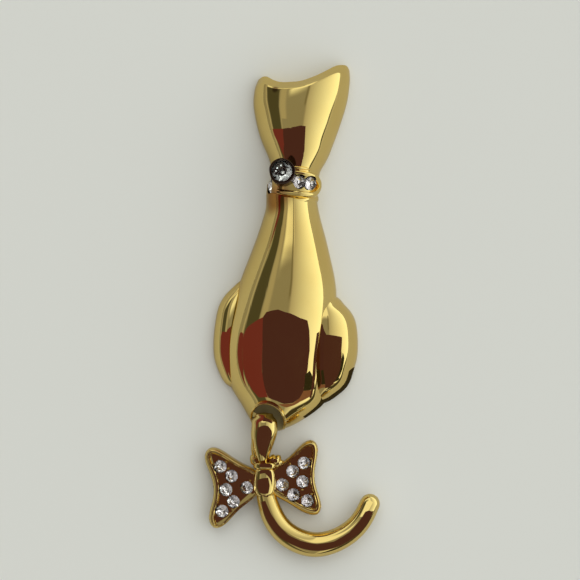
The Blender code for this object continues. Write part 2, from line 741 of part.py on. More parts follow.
def build_tail(parts, cutters):
    wings = [build_wing(-1, "left", LEFT_WING, LEFT_WING_STONES, parts, cutters),
             build_wing(1, "right", RIGHT_WING, RIGHT_WING_STONES, parts, cutters)]
    pieces = build_knot(cutters) + [build_hook(cutters)] + build_rivet(cutters) + wings
    tail = combine(build_drop(cutters), pieces, "UNION")
    return hand_over(tail, "tail", GOLD, cutters, parts)


def body_middle(along):
    left = spline(BODY_SECTIONS["along"], BODY_SECTIONS["left"], along)
    right = spline(BODY_SECTIONS["along"], BODY_SECTIONS["right"], along)
    return Vector(((left + right) / 2 * BODY_WIDTH, -along * BODY_LENGTH, 0))


def build_pin(parts, cutters):
    # Two posts that seat against the hollow's ceiling and a straight wire between them
    upper, lower = (body_middle(along) for along in PIN_POSTS)
    reach = (upper - lower).length
    half = PIN_POST / 2
    ceiling = cushion("ceiling", body_grid(
        BODY_SECTIONS, 0, BODY_LENGTH, BODY_HEIGHT, BODY_HOLLOW, (24, 16), WALL + SEAT_GAP), cutters)
    wire = cylinder("wire", PIN_RADIUS, 0, reach, cutters, sides=12)
    place(wire, Matrix.Translation((0, 0, PIN_LEVEL)) @ Matrix.Rotation(math.pi / 2, 4, "X"))
    pieces = [wire]
    for name, along in (("upper_post", 0), ("lower_post", -reach)):
        pieces.append(box(name, (-half, along - half, PIN_LIFT), (half, along + half, BODY_HEIGHT), cutters))
    turn = Matrix.Rotation(math.atan2(upper.x - lower.x, upper.y - lower.y), 4, "Z").inverted()
    for piece in pieces:
        place(piece, Matrix.Translation(upper) @ turn)
    wire, first, second = pieces
    pin = combine(combine(combine(first, [second], "UNION"), [ceiling], "INTERSECT"), [wire], "UNION")
    return hand_over(pin, "pin_back", PIN_METAL, cutters, parts)


def centre_on_floor(root, parts):
    # Puts the middle of the whole brooch's box at X 0, Y 0, with its back on Z 0
    bpy.context.view_layer.update()
    corners = np.array([piece.matrix_world @ vertex.co for piece in parts.objects if piece.type == "MESH"
                        for vertex in piece.data.vertices])
    low = corners.min(axis=0)
    high = corners.max(axis=0)
    middle = (low + high) / 2
    root.location = (-middle[0], -middle[1], -low[2])


def main():
    for old in list(bpy.data.objects):
        bpy.data.objects.remove(old)
    parts = bpy.data.collections.new("cat_brooch")
    cutters = bpy.data.collections.new("cutters")
    bpy.context.scene.collection.children.link(parts)
    bpy.context.scene.collection.children.link(cutters)

    cat = build_cat_body(parts, cutters)
    still = [cat, build_pin(parts, cutters)] + build_collar_stones(parts)
    tail = build_tail(parts, cutters)
    bow_stones = [piece for piece in parts.objects if piece.name.startswith("bow_stone")]

    root = bpy.data.objects.new("brooch_frame", None)
    swing = bpy.data.objects.new("tail_pivot", None)
    for empty in (root, swing):
        parts.objects.link(empty)
    swing.parent = root
    swing.location = body_spot(*PIVOT_SPOT)
    for piece in still:
        piece.parent = root
    for piece in [tail] + bow_stones:
        piece.parent = swing
    for cutter in cutters.objects:
        cutter.hide_render = True
        cutter.display_type = "WIRE"
    for piece in parts.objects:
        if piece.type == "MESH":
            piece.data.shade_smooth()
            piece.data.set_sharp_from_angle(angle=math.radians(35))
    centre_on_floor(root, parts)


main()
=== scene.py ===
import json
import math

import bmesh
import bpy
import numpy as np
from mathutils import Matrix, Vector
from mathutils.bvhtree import BVHTree


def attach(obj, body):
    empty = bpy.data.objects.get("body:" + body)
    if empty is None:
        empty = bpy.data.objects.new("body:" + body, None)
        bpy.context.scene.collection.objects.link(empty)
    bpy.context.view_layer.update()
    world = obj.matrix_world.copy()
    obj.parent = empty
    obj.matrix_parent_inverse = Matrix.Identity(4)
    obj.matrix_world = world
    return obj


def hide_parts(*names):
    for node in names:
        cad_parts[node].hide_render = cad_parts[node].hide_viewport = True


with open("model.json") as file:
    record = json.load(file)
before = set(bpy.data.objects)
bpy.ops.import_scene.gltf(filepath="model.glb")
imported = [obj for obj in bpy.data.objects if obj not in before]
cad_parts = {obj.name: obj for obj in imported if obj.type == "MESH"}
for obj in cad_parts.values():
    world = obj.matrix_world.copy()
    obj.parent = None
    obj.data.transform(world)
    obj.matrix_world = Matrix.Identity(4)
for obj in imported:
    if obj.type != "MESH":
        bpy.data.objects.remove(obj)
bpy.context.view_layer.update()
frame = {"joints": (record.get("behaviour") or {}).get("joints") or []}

# A gold-plated cat brooch seen from behind. Lengths are in metres, and forms are placed from the
# collar's centre, which the tail's rivet gives in the shared frame.
cat = {
    "bodyLength": 0.0372,
    "bodyWidth": 0.0174,
    "bodyHeight": 0.0071,
    "headLength": 0.0179,
    "headWidth": 0.01455,
    "headHeight": 0.0057,
    "haunchLength": 0.0156,
    "leftHaunchStart": 0.391,  # shares of the body's length
    "rightHaunchStart": 0.460,
    "leftHaunchHeight": 0.0031,
    "rightHaunchHeight": 0.0050,
    "haunchCrest": (0.30, 4.0),  # where the right haunch's top lies, and how full its inner side is
    "fine": 96,  # columns of the outer forms, and of the hollow
    "hollowFine": 48,
    "lipRows": 60,
    "beyond": (0.1, 0.05),  # past the brooch on every side, and below it
    "span": (0, 0.998),  # shares of the body's length that are built, and that carry the recess's lip
    "lipSpan": (0.8, 0.998),
    "wall": 0.0011,
    "skirt": 0.001,
    "rivetSpot": (-0.256, -0.967),  # shares of the body's width and length
    "recessSpot": (-0.228, -0.950),
}
rivet = Vector(frame["joints"][0]["pos_m"])
collarCentre = Vector((rivet.x - cat["rivetSpot"][0] * cat["bodyWidth"],
                       rivet.y - cat["rivetSpot"][1] * cat["bodyLength"], 0))
# the small crystals, the hairline round them, how narrow a seat is at its foot, and its cutter's top
small = {"stone": 0.00196, "gap": 0.00004, "foot": 0.22, "seatHigh": 0.0015, "seatSteps": 40}


def table(columns, rows):
    return dict(zip(columns.split(), np.array(rows, dtype=float).T))


def smoothThrough(knots, values, at):
    # natural cubic curve, so that polished forms carry no kinks
    count = len(knots)
    gaps = np.diff(knots)
    slopes = np.diff(values) / gaps
    system = np.eye(count)
    target = np.zeros(count)
    for i in range(1, count - 1):
        system[i, i - 1 : i + 2] = gaps[i - 1], 2 * (gaps[i - 1] + gaps[i]), gaps[i]
        target[i] = 6 * (slopes[i] - slopes[i - 1])
    bends = np.linalg.solve(system, target)
    i = np.clip(np.searchsorted(knots, at) - 1, 0, count - 2)
    b = (at - knots[i]) / gaps[i]
    a = 1 - b
    bow = ((a**3 - a) * bends[i] + (b**3 - b) * bends[i + 1]) * gaps[i] ** 2 / 6
    return a * values[i] + b * values[i + 1] + bow


def alongRoute(route, count):
    # every column of a route, smoothed through its rows, at even steps from its first row to its last
    rows = np.arange(len(next(iter(route.values()))), dtype=float)
    at = np.linspace(0, rows[-1], count)
    return at, *(smoothThrough(rows, values, at) for values in route.values())


def rowsBetween(source, first, last, count):
    turn = np.linspace(0, math.pi, count)
    at = first + (last - first) * (1 - np.cos(turn)) / 2
    key = next(iter(source))
    smooth = {name: smoothThrough(source[key], values, at) for name, values in source.items()}
    smooth[key] = at
    return smooth


def ease(value):
    value = np.clip(value, 0, 1)
    return value * value * (3 - 2 * value)


# Materials
polish = {
    "hairTurn": (0.2, 0.1, 0.7),
    "hairStretch": (1.0, 0.06, 0.3),
    "hairNoise": {"Detail": 4.0, "Roughness": 0.7},
    "hairRange": (0.60, 0.72),
    "smearNoise": {"Scale": 260.0, "Detail": 3.0, "Roughness": 0.55},
    "smearRange": (0.45, 0.75),
    "waveNoise": {"Scale": 330.0, "Detail": 1.0, "Roughness": 0.4},
    "scratchDepth": -0.25,
    "relief": 0.00005,
    "driftNoise": {"Scale": 120.0, "Detail": 3.0},
    "driftRange": (0.4, 0.75),
    "darkSpotRange": (1.7, 0.9),  # where a dark spot, partly tarnish and partly painted shade, ends and is full, as shares of its radius
}


def plug(tree, socket, value):
    # another node's socket is linked, and a colour of three numbers gets its fourth
    if isinstance(value, bpy.types.NodeSocket):
        tree.links.new(value, socket)
    else:
        socket.default_value = (*value, 1) if socket.type == "RGBA" else value


def addNode(tree, kind, *inputs, **named):
    # inputs in the node's own order, and its settings and other inputs by name
    made = tree.nodes.new(kind)
    made.location = (190 * len(tree.nodes), -160 * (len(tree.nodes) % 5))
    for name, value in named.items():
        if name in made.bl_rna.properties:
            setattr(made, name, value)
        else:
            plug(tree, made.inputs[name.replace("_", " ")], value)
    for socket, value in zip(made.inputs, inputs):
        plug(tree, socket, value)
    return made


def mathOf(tree, operation, *inputs):
    return addNode(tree, "ShaderNodeMath", *inputs, operation=operation).outputs[0]


def noiseOf(tree, where, look):
    return addNode(tree, "ShaderNodeTexNoise", Vector=where, **look).outputs["Fac"]


def rangeOf(tree, value, low, high, first=0.0, last=1.0, kind="LINEAR"):
    made = addNode(tree, "ShaderNodeMapRange", value, low, high, first, last, interpolation_type=kind)
    return made.outputs[0]


def blendOf(tree, share, first, second, kind="MIX"):
    made = addNode(tree, "ShaderNodeMix", data_type="RGBA", blend_type=kind)
    for place, value in ((0, share), (6, first), (7, second)):
        plug(tree, made.inputs[place], value)
    return made.outputs[2]


def makePolishMarks():
    # hairline scratches, soft smears and tiny pits that any handled metal has
    group = bpy.data.node_groups.new("polishMarks", "ShaderNodeTree")
    face = group.interface
    face.new_socket("Vector", in_out="INPUT", socket_type="NodeSocketVector")
    for name in ("Scratches", "Smears", "Fineness"):
        face.new_socket(name, in_out="INPUT", socket_type="NodeSocketFloat")
    for name in ("Roughness", "Height"):
        face.new_socket(name, in_out="OUTPUT", socket_type="NodeSocketFloat")
    given = addNode(group, "NodeGroupInput").outputs
    stretch = addNode(group, "ShaderNodeMapping", Vector=given["Vector"], Rotation=polish["hairTurn"],
                      Scale=polish["hairStretch"])
    hair = noiseOf(group, stretch.outputs[0], {"Scale": given["Fineness"], **polish["hairNoise"]})
    smear = noiseOf(group, given["Vector"], polish["smearNoise"])
    waves = noiseOf(group, given["Vector"], polish["waveNoise"])
    scratched = mathOf(group, "MULTIPLY", rangeOf(group, hair, *polish["hairRange"]), given["Scratches"])
    smeared = mathOf(group, "MULTIPLY", rangeOf(group, smear, *polish["smearRange"]), given["Smears"])
    addNode(group, "NodeGroupOutput", Roughness=mathOf(group, "ADD", scratched, smeared),
            Height=mathOf(group, "MULTIPLY_ADD", scratched, polish["scratchDepth"], waves))
    return group


def newMaterial(name):
    made = bpy.data.materials.new(name)
    made.use_nodes = True
    return made, made.node_tree, made.node_tree.nodes["Principled BSDF"]


def marksOn(tree, look):
    # where the surface is, its marks' height, and its roughness between the look's two ends
    where = addNode(tree, "ShaderNodeTexCoord").outputs["Object"]
    marks = addNode(tree, "ShaderNodeGroup", node_tree=polishMarks, Vector=where, Scratches=look["scratches"],
                    Smears=look["smears"], Fineness=look["fineness"]).outputs
    return where, marks["Height"], rangeOf(tree, marks["Roughness"], 0, 1, look["smooth"], look["rough"])


def setSurface(tree, surface, values):
    for name, value in values.items():
        plug(tree, surface.inputs[name], value)


def metal(name, look):
    # polished or satin metal whose tone drifts a little and turns browner in given spots, which are partly
    # tarnish and partly painted shade
    made, tree, surface = newMaterial(name)
    where, height, rough = marksOn(tree, look)
    drift = noiseOf(tree, where, polish["driftNoise"])
    colour = blendOf(tree, rangeOf(tree, drift, *polish["driftRange"], 0.0, look["drift"]),
                     look["colour"], look["deep"])
    # browner spots: some tarnish, and painted shade where a spot stands for the shade beside the cup
    for spot in look.get("tarnishAndShade", ()):
        away = addNode(tree, "ShaderNodeVectorMath", where, spot["centre"], operation="DISTANCE")
        outer, inner = (share * spot["radius"] for share in polish["darkSpotRange"])
        ragged = mathOf(tree, "MULTIPLY_ADD", drift, inner, away.outputs["Value"])
        mask = rangeOf(tree, ragged, outer, inner, 0.0, spot["strength"], "SMOOTHSTEP")
        colour = blendOf(tree, mask, colour, spot["colour"])
    # painted sparkle: some foil facets are darkened so that the stones show lit and shaded facets
    if look.get("paintedFacets"):
        facetShade = addNode(tree, "ShaderNodeAttribute", attribute_name="facetTone")
        colour = blendOf(tree, 1.0, colour, facetShade.outputs["Fac"], "MULTIPLY")
    relief = addNode(tree, "ShaderNodeBump", Strength=look["bump"], Distance=polish["relief"], Height=height)
    setSurface(tree, surface, {
        "Base Color": colour, "Metallic": look.get("metal", 1.0), "Specular Tint": look["edge"],
        "Roughness": rough, "Normal": relief.outputs[0]})
    return made


def crystal(name, look):
    # clear cut glass, a little cloudy from handling
    made, tree, surface = newMaterial(name)
    rough = marksOn(tree, look)[2]
    setSurface(tree, surface, {"Base Color": look["colour"], "Transmission Weight": 1.0, "IOR": look["ior"],
                               "Roughness": rough})
    return made


polishMarks = makePolishMarks()
goldLook = {"colour": (0.93, 0.71, 0.255), "deep": (0.88, 0.62, 0.19), "edge": (1.0, 0.97, 0.85),
            "smooth": 0.035, "rough": 0.14, "scratches": 0.35, "smears": 0.45, "fineness": 700.0,
            "drift": 0.6, "bump": 0.35}
# the first two brown spots are partly tarnish and partly painted shade, where the cup shades the collar's
# left side; the third is a small dark spot high on the head's left
collarGold = dict(goldLook, tarnishAndShade=(
    {"centre": collarCentre + Vector((-0.0027, -0.0023, 0.0034)), "radius": 0.0026, "strength": 1.0,
     "colour": (0.48, 0.23, 0.055)},
    {"centre": collarCentre + Vector((-0.0022, -0.0012, 0.0052)), "radius": 0.0016, "strength": 0.6,
     "colour": (0.55, 0.25, 0.10)},
    {"centre": collarCentre + Vector((-0.0029, 0.0141, 0.0045)), "radius": 0.00055, "strength": 0.85,
     "colour": (0.30, 0.16, 0.06)},
))
gold = metal("polishedGoldPlate", collarGold)
tailGold = metal("tailGoldPlate", goldLook)
castGold = metal("unpolishedCastGold", dict(goldLook, smooth=0.28, rough=0.5, colour=(0.78, 0.57, 0.22)))
satinGold = metal("satinGoldFloor", dict(goldLook, smooth=0.5, rough=0.7, metal=0.3,
                                         colour=(0.40, 0.34, 0.17), deep=(0.30, 0.25, 0.12)))
# near-black finish for the seat walls round the stones: painted shade in the seats
seatShade = metal("darkSetting", {
    "colour": (0.085, 0.05, 0.028), "deep": (0.03, 0.018, 0.012), "edge": (0.9, 0.85, 0.8), "smooth": 0.16,
    "rough": 0.4, "scratches": 0.5, "smears": 0.6, "fineness": 900.0, "drift": 0.8, "bump": 0.3})
cupMetal = metal("blackenedCup", {
    "colour": (0.07, 0.05, 0.042), "deep": (0.16, 0.085, 0.04), "edge": (0.9, 0.88, 0.85), "smooth": 0.22,
    "rough": 0.5, "scratches": 0.6, "smears": 0.8, "fineness": 1100.0, "drift": 0.9, "bump": 0.6})
pinMetal = metal("giltPinWire", dict(goldLook, smooth=0.12, rough=0.35, colour=(0.80, 0.66, 0.36)))
foil = metal("stoneFoil", {
    "colour": (0.97, 0.95, 0.96), "deep": (0.88, 0.84, 0.85), "edge": (1, 1, 1), "metal": 0.95,
    "smooth": 0.02, "rough": 0.08, "paintedFacets": True, "scratches": 0.2, "smears": 0.4, "fineness": 1500.0,
    "drift": 0.7, "bump": 0.05})
glassLook = {"ior": 1.56, "smooth": 0.0, "scratches": 0.2, "smears": 0.4, "fineness": 1500.0}
clearCrystal = crystal("clearCrystal", dict(glassLook, colour=(1.0, 0.985, 0.985), rough=0.08))
cupCrystal = crystal("cupCrystal", dict(glassLook, colour=(0.90, 0.96, 0.93), rough=0.10))
print("materials made")


# Working with forms

def addObject(name, mesh):
    made = bpy.data.objects.new(name, mesh)
    bpy.context.scene.collection.objects.link(made)
    return made


def fromBmesh(name, bm):
    bmesh.ops.recalc_face_normals(bm, faces=bm.faces)
    mesh = bpy.data.meshes.new(name)
    bm.to_mesh(mesh)
    bm.free()
    return addObject(name, mesh)


def place(made, matrix):
    made.data.transform(matrix)
    return made


def underGrid(name, grid, floor):
    # a closed form below a grid of surface points, with a flat underside
    rows, columns = grid.shape[:2]
    bm = bmesh.new()
    top = [[bm.verts.new(grid[r, c]) for c in range(columns)] for r in range(rows)]
    edge = [(0, c) for c in range(columns)] + [(r, columns - 1) for r in range(1, rows)]
    edge += [(rows - 1, c) for c in range(columns - 2, -1, -1)] + [(r, 0) for r in range(rows - 2, 0, -1)]
    flat = [bm.verts.new((*grid[r, c, :2], floor)) for r, c in edge]
    for r in range(rows - 1):
        for c in range(columns - 1):
            bm.faces.new((top[r][c], top[r][c + 1], top[r + 1][c + 1], top[r + 1][c]))
    for i in range(len(edge)):
        j = (i + 1) % len(edge)
        bm.faces.new((top[edge[i][0]][edge[i][1]], top[edge[j][0]][edge[j][1]], flat[j], flat[i]))
    bm.faces.new(flat)
    return fromBmesh(name, bm)


def skinRings(bm, rings, steps):
    # joins each ring to the next; a ring of one point closes an end
    for upper, lower in zip(rings, rings[1:]):
        for k in range(steps):
            j = (k + 1) % steps
            corners = [upper[k % len(upper)], upper[j % len(upper)],
                       lower[j % len(lower)], lower[k % len(lower)]]
            bm.faces.new(list(dict.fromkeys(corners)))


def turned(name, profile, steps, spotAt, endAt):
    # rings round an axis from a profile given from one end of the axis, along the outside, to the other
    bm = bmesh.new()
    turns = [2 * math.pi * k / steps for k in range(steps)]
    rings = []
    for radius, level in profile:
        spots = [spotAt(turn, radius, level) for turn in turns] if radius > 0 else [endAt(level)]
        rings.append([bm.verts.new(spot) for spot in spots])
    skinRings(bm, rings, steps)
    return fromBmesh(name, bm)


def spun(name, profile, steps, wobble=lambda turn, radius, level: 0.0):
    # turned round Z, from the top of the axis down
    def onRing(turn, radius, level):
        r = radius + wobble(turn, radius, level)
        return (r * math.cos(turn), r * math.sin(turn), level)

    return turned(name, profile, steps, onRing, lambda level: (0, 0, level))


def roundedRod(radius, low, high, edge, steps=5):
    # profile of a rod along Z whose two ends are rounded
    turns = np.linspace(math.pi / 2, 0, steps)
    top = [(radius - edge + edge * math.cos(t), high - edge + edge * math.sin(t)) for t in turns]
    bottom = [(r, low + high - z) for r, z in reversed(top)]
    return [(0, high)] + top + bottom + [(0, low)]


def combine(base, others, operation):
    for other in others:
        cut = base.modifiers.new("join", "BOOLEAN")
        cut.operation = operation
        cut.solver = "MANIFOLD"
        cut.object = other
        graph = bpy.context.evaluated_depsgraph_get()
        graph.update()
        joined = bpy.data.meshes.new_from_object(base.evaluated_get(graph))
        base.modifiers.remove(cut)
        if len(joined.polygons) < 4:
            raise RuntimeError(f"{base.name} {operation} {other.name} left nothing")
        base.data = joined
    return base


# how near a form's surface is looked for, how far the two must face one way, and how far inside a
# face its corners are read
reading = {"sharp": math.radians(38), "reach": 0.00003, "facing": 0.8, "inward": 0.02,
           "cornerReach": 0.0002, "agree": 0.3}


def cornerNormals(made):
    # the form's own smooth normals on a triangulated copy, to be read later on the finished cast
    bm = bmesh.new()
    bm.from_mesh(made.data)
    bmesh.ops.triangulate(bm, faces=bm.faces)
    mesh = bpy.data.meshes.new("reading")
    bm.to_mesh(mesh)
    bm.free()
    mesh.shade_smooth()
    mesh.set_sharp_from_angle(angle=reading["sharp"])
    corners = np.zeros(len(mesh.loops) * 3, np.float32)
    mesh.corner_normals.foreach_get("vector", corners)
    points = np.zeros(len(mesh.vertices) * 3, np.float32)
    mesh.vertices.foreach_get("co", points)
    points = points.reshape(-1, 3)
    triangles = np.array([list(p.vertices) for p in mesh.polygons])
    tree = BVHTree.FromPolygons([Vector(p) for p in points], triangles.tolist())
    bpy.data.meshes.remove(mesh)
    return {"tree": tree, "corners": corners.reshape(-1, 3, 3), "points": points[triangles]}


def readNormals(made, sources, looks):
    # gives each face of a joined cast the smooth normals, and the finish, of the form it came from
    mesh = made.data
    normals = np.zeros((len(mesh.loops), 3))
    asked = [([], [], []) for _ in sources]
    picks = np.zeros(len(mesh.polygons), np.int32)
    for polygon in mesh.polygons:
        centre = polygon.center
        best = None
        for i, source in enumerate(sources):
            _, normal, _, away = source["tree"].find_nearest(centre, reading["reach"])
            facing = normal.dot(polygon.normal) if normal else 0.0
            if abs(facing) > reading["facing"] and (best is None or away < best[0]):
                best = (away, i, 1 if facing > 0 else -1)
        picks[polygon.index] = looks[best[1]] if best else 0
        for loop in polygon.loop_indices:
            normals[loop] = polygon.normal
            if best is None:
                continue
            point = mesh.vertices[mesh.loops[loop].vertex_index].co.lerp(centre, reading["inward"])
            spot, _, index, _ = sources[best[1]]["tree"].find_nearest(point, reading["cornerReach"])
            if spot is not None:
                for kept, value in zip(asked[best[1]], (loop, index, (*spot, best[2]))):
                    kept.append(value)
    for source, (loops, indices, spots) in zip(sources, asked):
        if not loops:
            continue
        spots = np.array(spots)
        a, b, c = source["points"][indices].transpose(1, 0, 2)
        u, v, w = b - a, c - a, spots[:, :3] - a
        uu, uv, vv = (u * u).sum(1), (u * v).sum(1), (v * v).sum(1)
        wu, wv = (w * u).sum(1), (w * v).sum(1)
        scale = np.maximum(uu * vv - uv * uv, 1e-30)
        s = np.clip((vv * wu - uv * wv) / scale, 0, 1)
        t = np.clip((uu * wv - uv * wu) / scale, 0, 1)
        share = np.stack((1 - s - t, s, t), axis=1)
        smooth = (source["corners"][indices] * share[:, :, None]).sum(1) * spots[:, 3:4]
        smooth /= np.maximum(np.linalg.norm(smooth, axis=1, keepdims=True), 1e-9)
        fits = (smooth * normals[loops]).sum(1) > reading["agree"]
        normals[np.array(loops)[fits]] = smooth[fits]
    mesh.polygons.foreach_set("material_index", picks)
    mesh.polygons.foreach_set("use_smooth", np.ones(len(mesh.polygons), bool))
    mesh.normals_split_custom_set([tuple(n) for n in normals])
    mesh.update()


# Geometry Nodes that the pieces share

def newTree(name, inputs):
    tree = bpy.data.node_groups.new(name, "GeometryNodeTree")
    tree.interface.new_socket("Geometry", in_out="INPUT", socket_type="NodeSocketGeometry")
    for label, kind in inputs:
        tree.interface.new_socket(label, in_out="INPUT", socket_type=kind)
    tree.interface.new_socket("Geometry", in_out="OUTPUT", socket_type="NodeSocketGeometry")
    return tree, addNode(tree, "NodeGroupInput").outputs


def valueOf(tree, kind, name):
    made = addNode(tree, "GeometryNodeInputNamedAttribute", data_type=kind, Name=name)
    return made.outputs["Attribute"]


def makeSweptTube():
    # a round tube along a line of points, as thick as each point's own "tube" value
    tree, given = newTree("sweptTube", (("Sides", "NodeSocketInt"), ("Finish", "NodeSocketMaterial")))
    line = addNode(tree, "GeometryNodeMeshToCurve", Mesh=given["Geometry"])
    ring = addNode(tree, "GeometryNodeCurvePrimitiveCircle", Resolution=given["Sides"], Radius=1.0)
    sweep = addNode(tree, "GeometryNodeCurveToMesh", Curve=line.outputs[0], Fill_Caps=True,
                    Profile_Curve=ring.outputs["Curve"], Scale=valueOf(tree, "FLOAT", "tube"))
    real = addNode(tree, "GeometryNodeRealizeInstances", Geometry=sweep.outputs[0])
    finish = addNode(tree, "GeometryNodeSetMaterial", Geometry=real.outputs[0], Material=given["Finish"])
    addNode(tree, "NodeGroupOutput", finish.outputs[0])
    return tree


def makeSetPieces():
    # copies of one small piece, turned and sized by each point's "lean" and "width" values
    tree, given = newTree("setPieces", (("Piece", "NodeSocketObject"), ("Finish", "NodeSocketMaterial"),
                                        ("Backing", "NodeSocketMaterial")))
    info = addNode(tree, "GeometryNodeObjectInfo", Object=given["Piece"])
    turn = addNode(tree, "FunctionNodeEulerToRotation", valueOf(tree, "FLOAT_VECTOR", "lean"))
    copies = addNode(tree, "GeometryNodeInstanceOnPoints", Points=given["Geometry"], Rotation=turn.outputs[0],
                     Instance=info.outputs["Geometry"], Scale=valueOf(tree, "FLOAT", "width"))
    real = addNode(tree, "GeometryNodeRealizeInstances", Geometry=copies.outputs[0])
    finish = addNode(tree, "GeometryNodeSetMaterial", Geometry=real.outputs[0], Material=given["Finish"])
    backing = addNode(tree, "GeometryNodeSetMaterial", Geometry=finish.outputs[0], Material=given["Backing"],
                      Selection=valueOf(tree, "BOOLEAN", "backing"))
    addNode(tree, "NodeGroupOutput", backing.outputs[0])
    return tree


def grow(name, holder, tree, values):
    # runs a tree on a holder mesh and keeps the result as a plain mesh
    run = holder.modifiers.new("grow", "NODES")
    run.node_group = tree
    for item in tree.interface.items_tree:
        if item.in_out == "INPUT" and item.name in values:
            run[item.identifier] = values[item.name]
    holder.update_tag()
    graph = bpy.context.evaluated_depsgraph_get()
    graph.update()
    mesh = bpy.data.meshes.new_from_object(holder.evaluated_get(graph))
    holder.modifiers.remove(run)
    bpy.data.objects.remove(holder)
    mesh.name = name
    return addObject(name, mesh)


def tubeAlong(name, points, radii, sides, finish=gold):
    mesh = bpy.data.meshes.new(name + "Line")
    mesh.from_pydata([tuple(p) for p in points], [(i, i + 1) for i in range(len(points) - 1)], [])
    mesh.attributes.new("tube", "FLOAT", "POINT").data.foreach_set("value", np.array(radii, np.float32))
    made = grow(name, addObject(name + "Line", mesh), sweptTube, {"Sides": sides, "Finish": finish})
    bm = bmesh.new()
    bm.from_mesh(made.data)
    bmesh.ops.remove_doubles(bm, verts=bm.verts, dist=1e-7)
    bmesh.ops.recalc_face_normals(bm, faces=bm.faces)
    bm.to_mesh(made.data)
    bm.free()
    return made


sweptTube = makeSweptTube()
setPieces = makeSetPieces()

# Stones: one brilliant cut of width 1, whose lower half is foiled, with lighter and darker foil facets as
# painted sparkle
stoneCut = {"table": 0.56, "crown": 0.20, "girdle": 0.04, "star": 0.76, "starLevel": 0.148, "depth": 0.33,
            "lower": 0.36, "lowerLevel": -0.222, "point": 0.03,
            "sparkleShades": (1.0, 0.42, 0.90, 0.60, 1.0, 0.36, 0.80)}


def makeStone(name, cut):
    radius = 0.5
    rings = ((8, 0, cut["table"], cut["crown"]), (8, 0.5, cut["star"], cut["starLevel"]),
             (16, 0, 1.0, cut["girdle"]), (16, 0, 1.0, 0.0), (8, 0.5, cut["lower"], cut["lowerLevel"]),
             (8, 0, cut["point"], -cut["depth"]))
    bm = bmesh.new()
    for count, offset, share, level in rings:
        for k in range(count):
            turn = 2 * math.pi * (k + offset) / count
            bm.verts.new((radius * share * math.cos(turn), radius * share * math.sin(turn), level))
    hull = bmesh.ops.convex_hull(bm, input=bm.verts)
    loose = [v for v in hull["geom_interior"] if isinstance(v, bmesh.types.BMVert)]
    bmesh.ops.delete(bm, geom=loose, context="VERTS")
    bmesh.ops.dissolve_limit(bm, angle_limit=math.radians(1.5), verts=bm.verts, edges=bm.edges)
    made = fromBmesh(name, bm)
    below = [polygon.center.z < -0.001 for polygon in made.data.polygons]
    made.data.attributes.new("backing", "BOOLEAN", "FACE").data.foreach_set("value", below)
    # each foil facet's share of brightness, from the list: painted sparkle
    sparkleShades = []
    for polygon in made.data.polygons:
        turn = math.atan2(polygon.center.y, polygon.center.x) / (2 * math.pi)
        row = round(math.hypot(polygon.center.x, polygon.center.y) * 12)
        sparkleShades.append(cut["sparkleShades"][(round(turn * 16) * 3 + row * 2) % len(cut["sparkleShades"])])
    made.data.attributes.new("facetTone", "FLOAT", "FACE").data.foreach_set("value", sparkleShades)
    return made


def setStones(name, frames, width, finish, spins, pattern=None):
    mesh = bpy.data.meshes.new(name + "Points")
    mesh.from_pydata([tuple(f.to_translation()) for f in frames], [], [])
    leans = [(f.to_3x3() @ Matrix.Rotation(s, 3, "Z")).to_euler() for f, s in zip(frames, spins)]
    lean = mesh.attributes.new("lean", "FLOAT_VECTOR", "POINT")
    lean.data.foreach_set("vector", np.array([tuple(e) for e in leans], np.float32).ravel())
    widths = mesh.attributes.new("width", "FLOAT", "POINT")
    widths.data.foreach_set("value", np.full(len(frames), width, np.float32))
    return grow(name, addObject(name + "Points", mesh), setPieces,
                {"Piece": pattern or stonePattern, "Finish": finish, "Backing": foil})


def makeBead():
    bm = bmesh.new()
    bmesh.ops.create_icosphere(bm, subdivisions=3, radius=0.5)
    return fromBmesh("beadPattern", bm)


stonePattern = makeStone("stonePattern", stoneCut)
beadPattern = makeBead()


def stoneSeat(name, matrix, ring):
    width, gap, high = small["stone"], small["gap"], small["seatHigh"]
    radius, foot = width / 2 + gap, small["foot"] * width / 2 + gap
    floor = -stoneCut["depth"] * width - gap
    profile = [(0, high), (radius + ring, high), (radius + ring, -gap - ring / 2), (foot, floor), (0, floor)]
    return place(spun(name, profile, small["seatSteps"]), matrix)


# The cat's main forms
bodySections = table("along left right crown", (
    (0.000, -0.237, 0.228, 0.655), (0.056, -0.246, 0.198, 0.695), (0.089, -0.247, 0.203, 0.722),
    (0.137, -0.272, 0.224, 0.765), (0.210, -0.323, 0.266, 0.835), (0.306, -0.401, 0.315, 0.915),
    (0.407, -0.483, 0.357, 0.97), (0.508, -0.552, 0.362, 1.00), (0.629, -0.608, 0.338, 0.995),
    (0.718, -0.610, 0.316, 0.965), (0.790, -0.578, 0.307, 0.92), (0.843, -0.526, 0.290, 0.86),
    (0.887, -0.466, 0.256, 0.78), (0.923, -0.422, 0.172, 0.69), (0.956, -0.380, 0.066, 0.58),
    (0.980, -0.335, -0.030, 0.45), (0.998, -0.272, -0.134, 0.26),
))
leftHaunchSections = table("along left right crown", (
    (-0.02, -0.440, -0.395, 0.10), (0.00, -0.470, -0.384, 0.30), (0.05, -0.522, -0.366, 0.52),
    (0.12, -0.586, -0.366, 0.68), (0.21, -0.642, -0.384, 0.80), (0.36, -0.681, -0.401, 0.92),
    (0.52, -0.700, -0.418, 0.985), (0.66, -0.703, -0.427, 1.00), (0.79, -0.687, -0.435, 0.97),
    (0.89, -0.653, -0.444, 0.88), (0.97, -0.616, -0.453, 0.70), (1.01, -0.580, -0.461, 0.44),
    (1.03, -0.550, -0.475, 0.12),
))
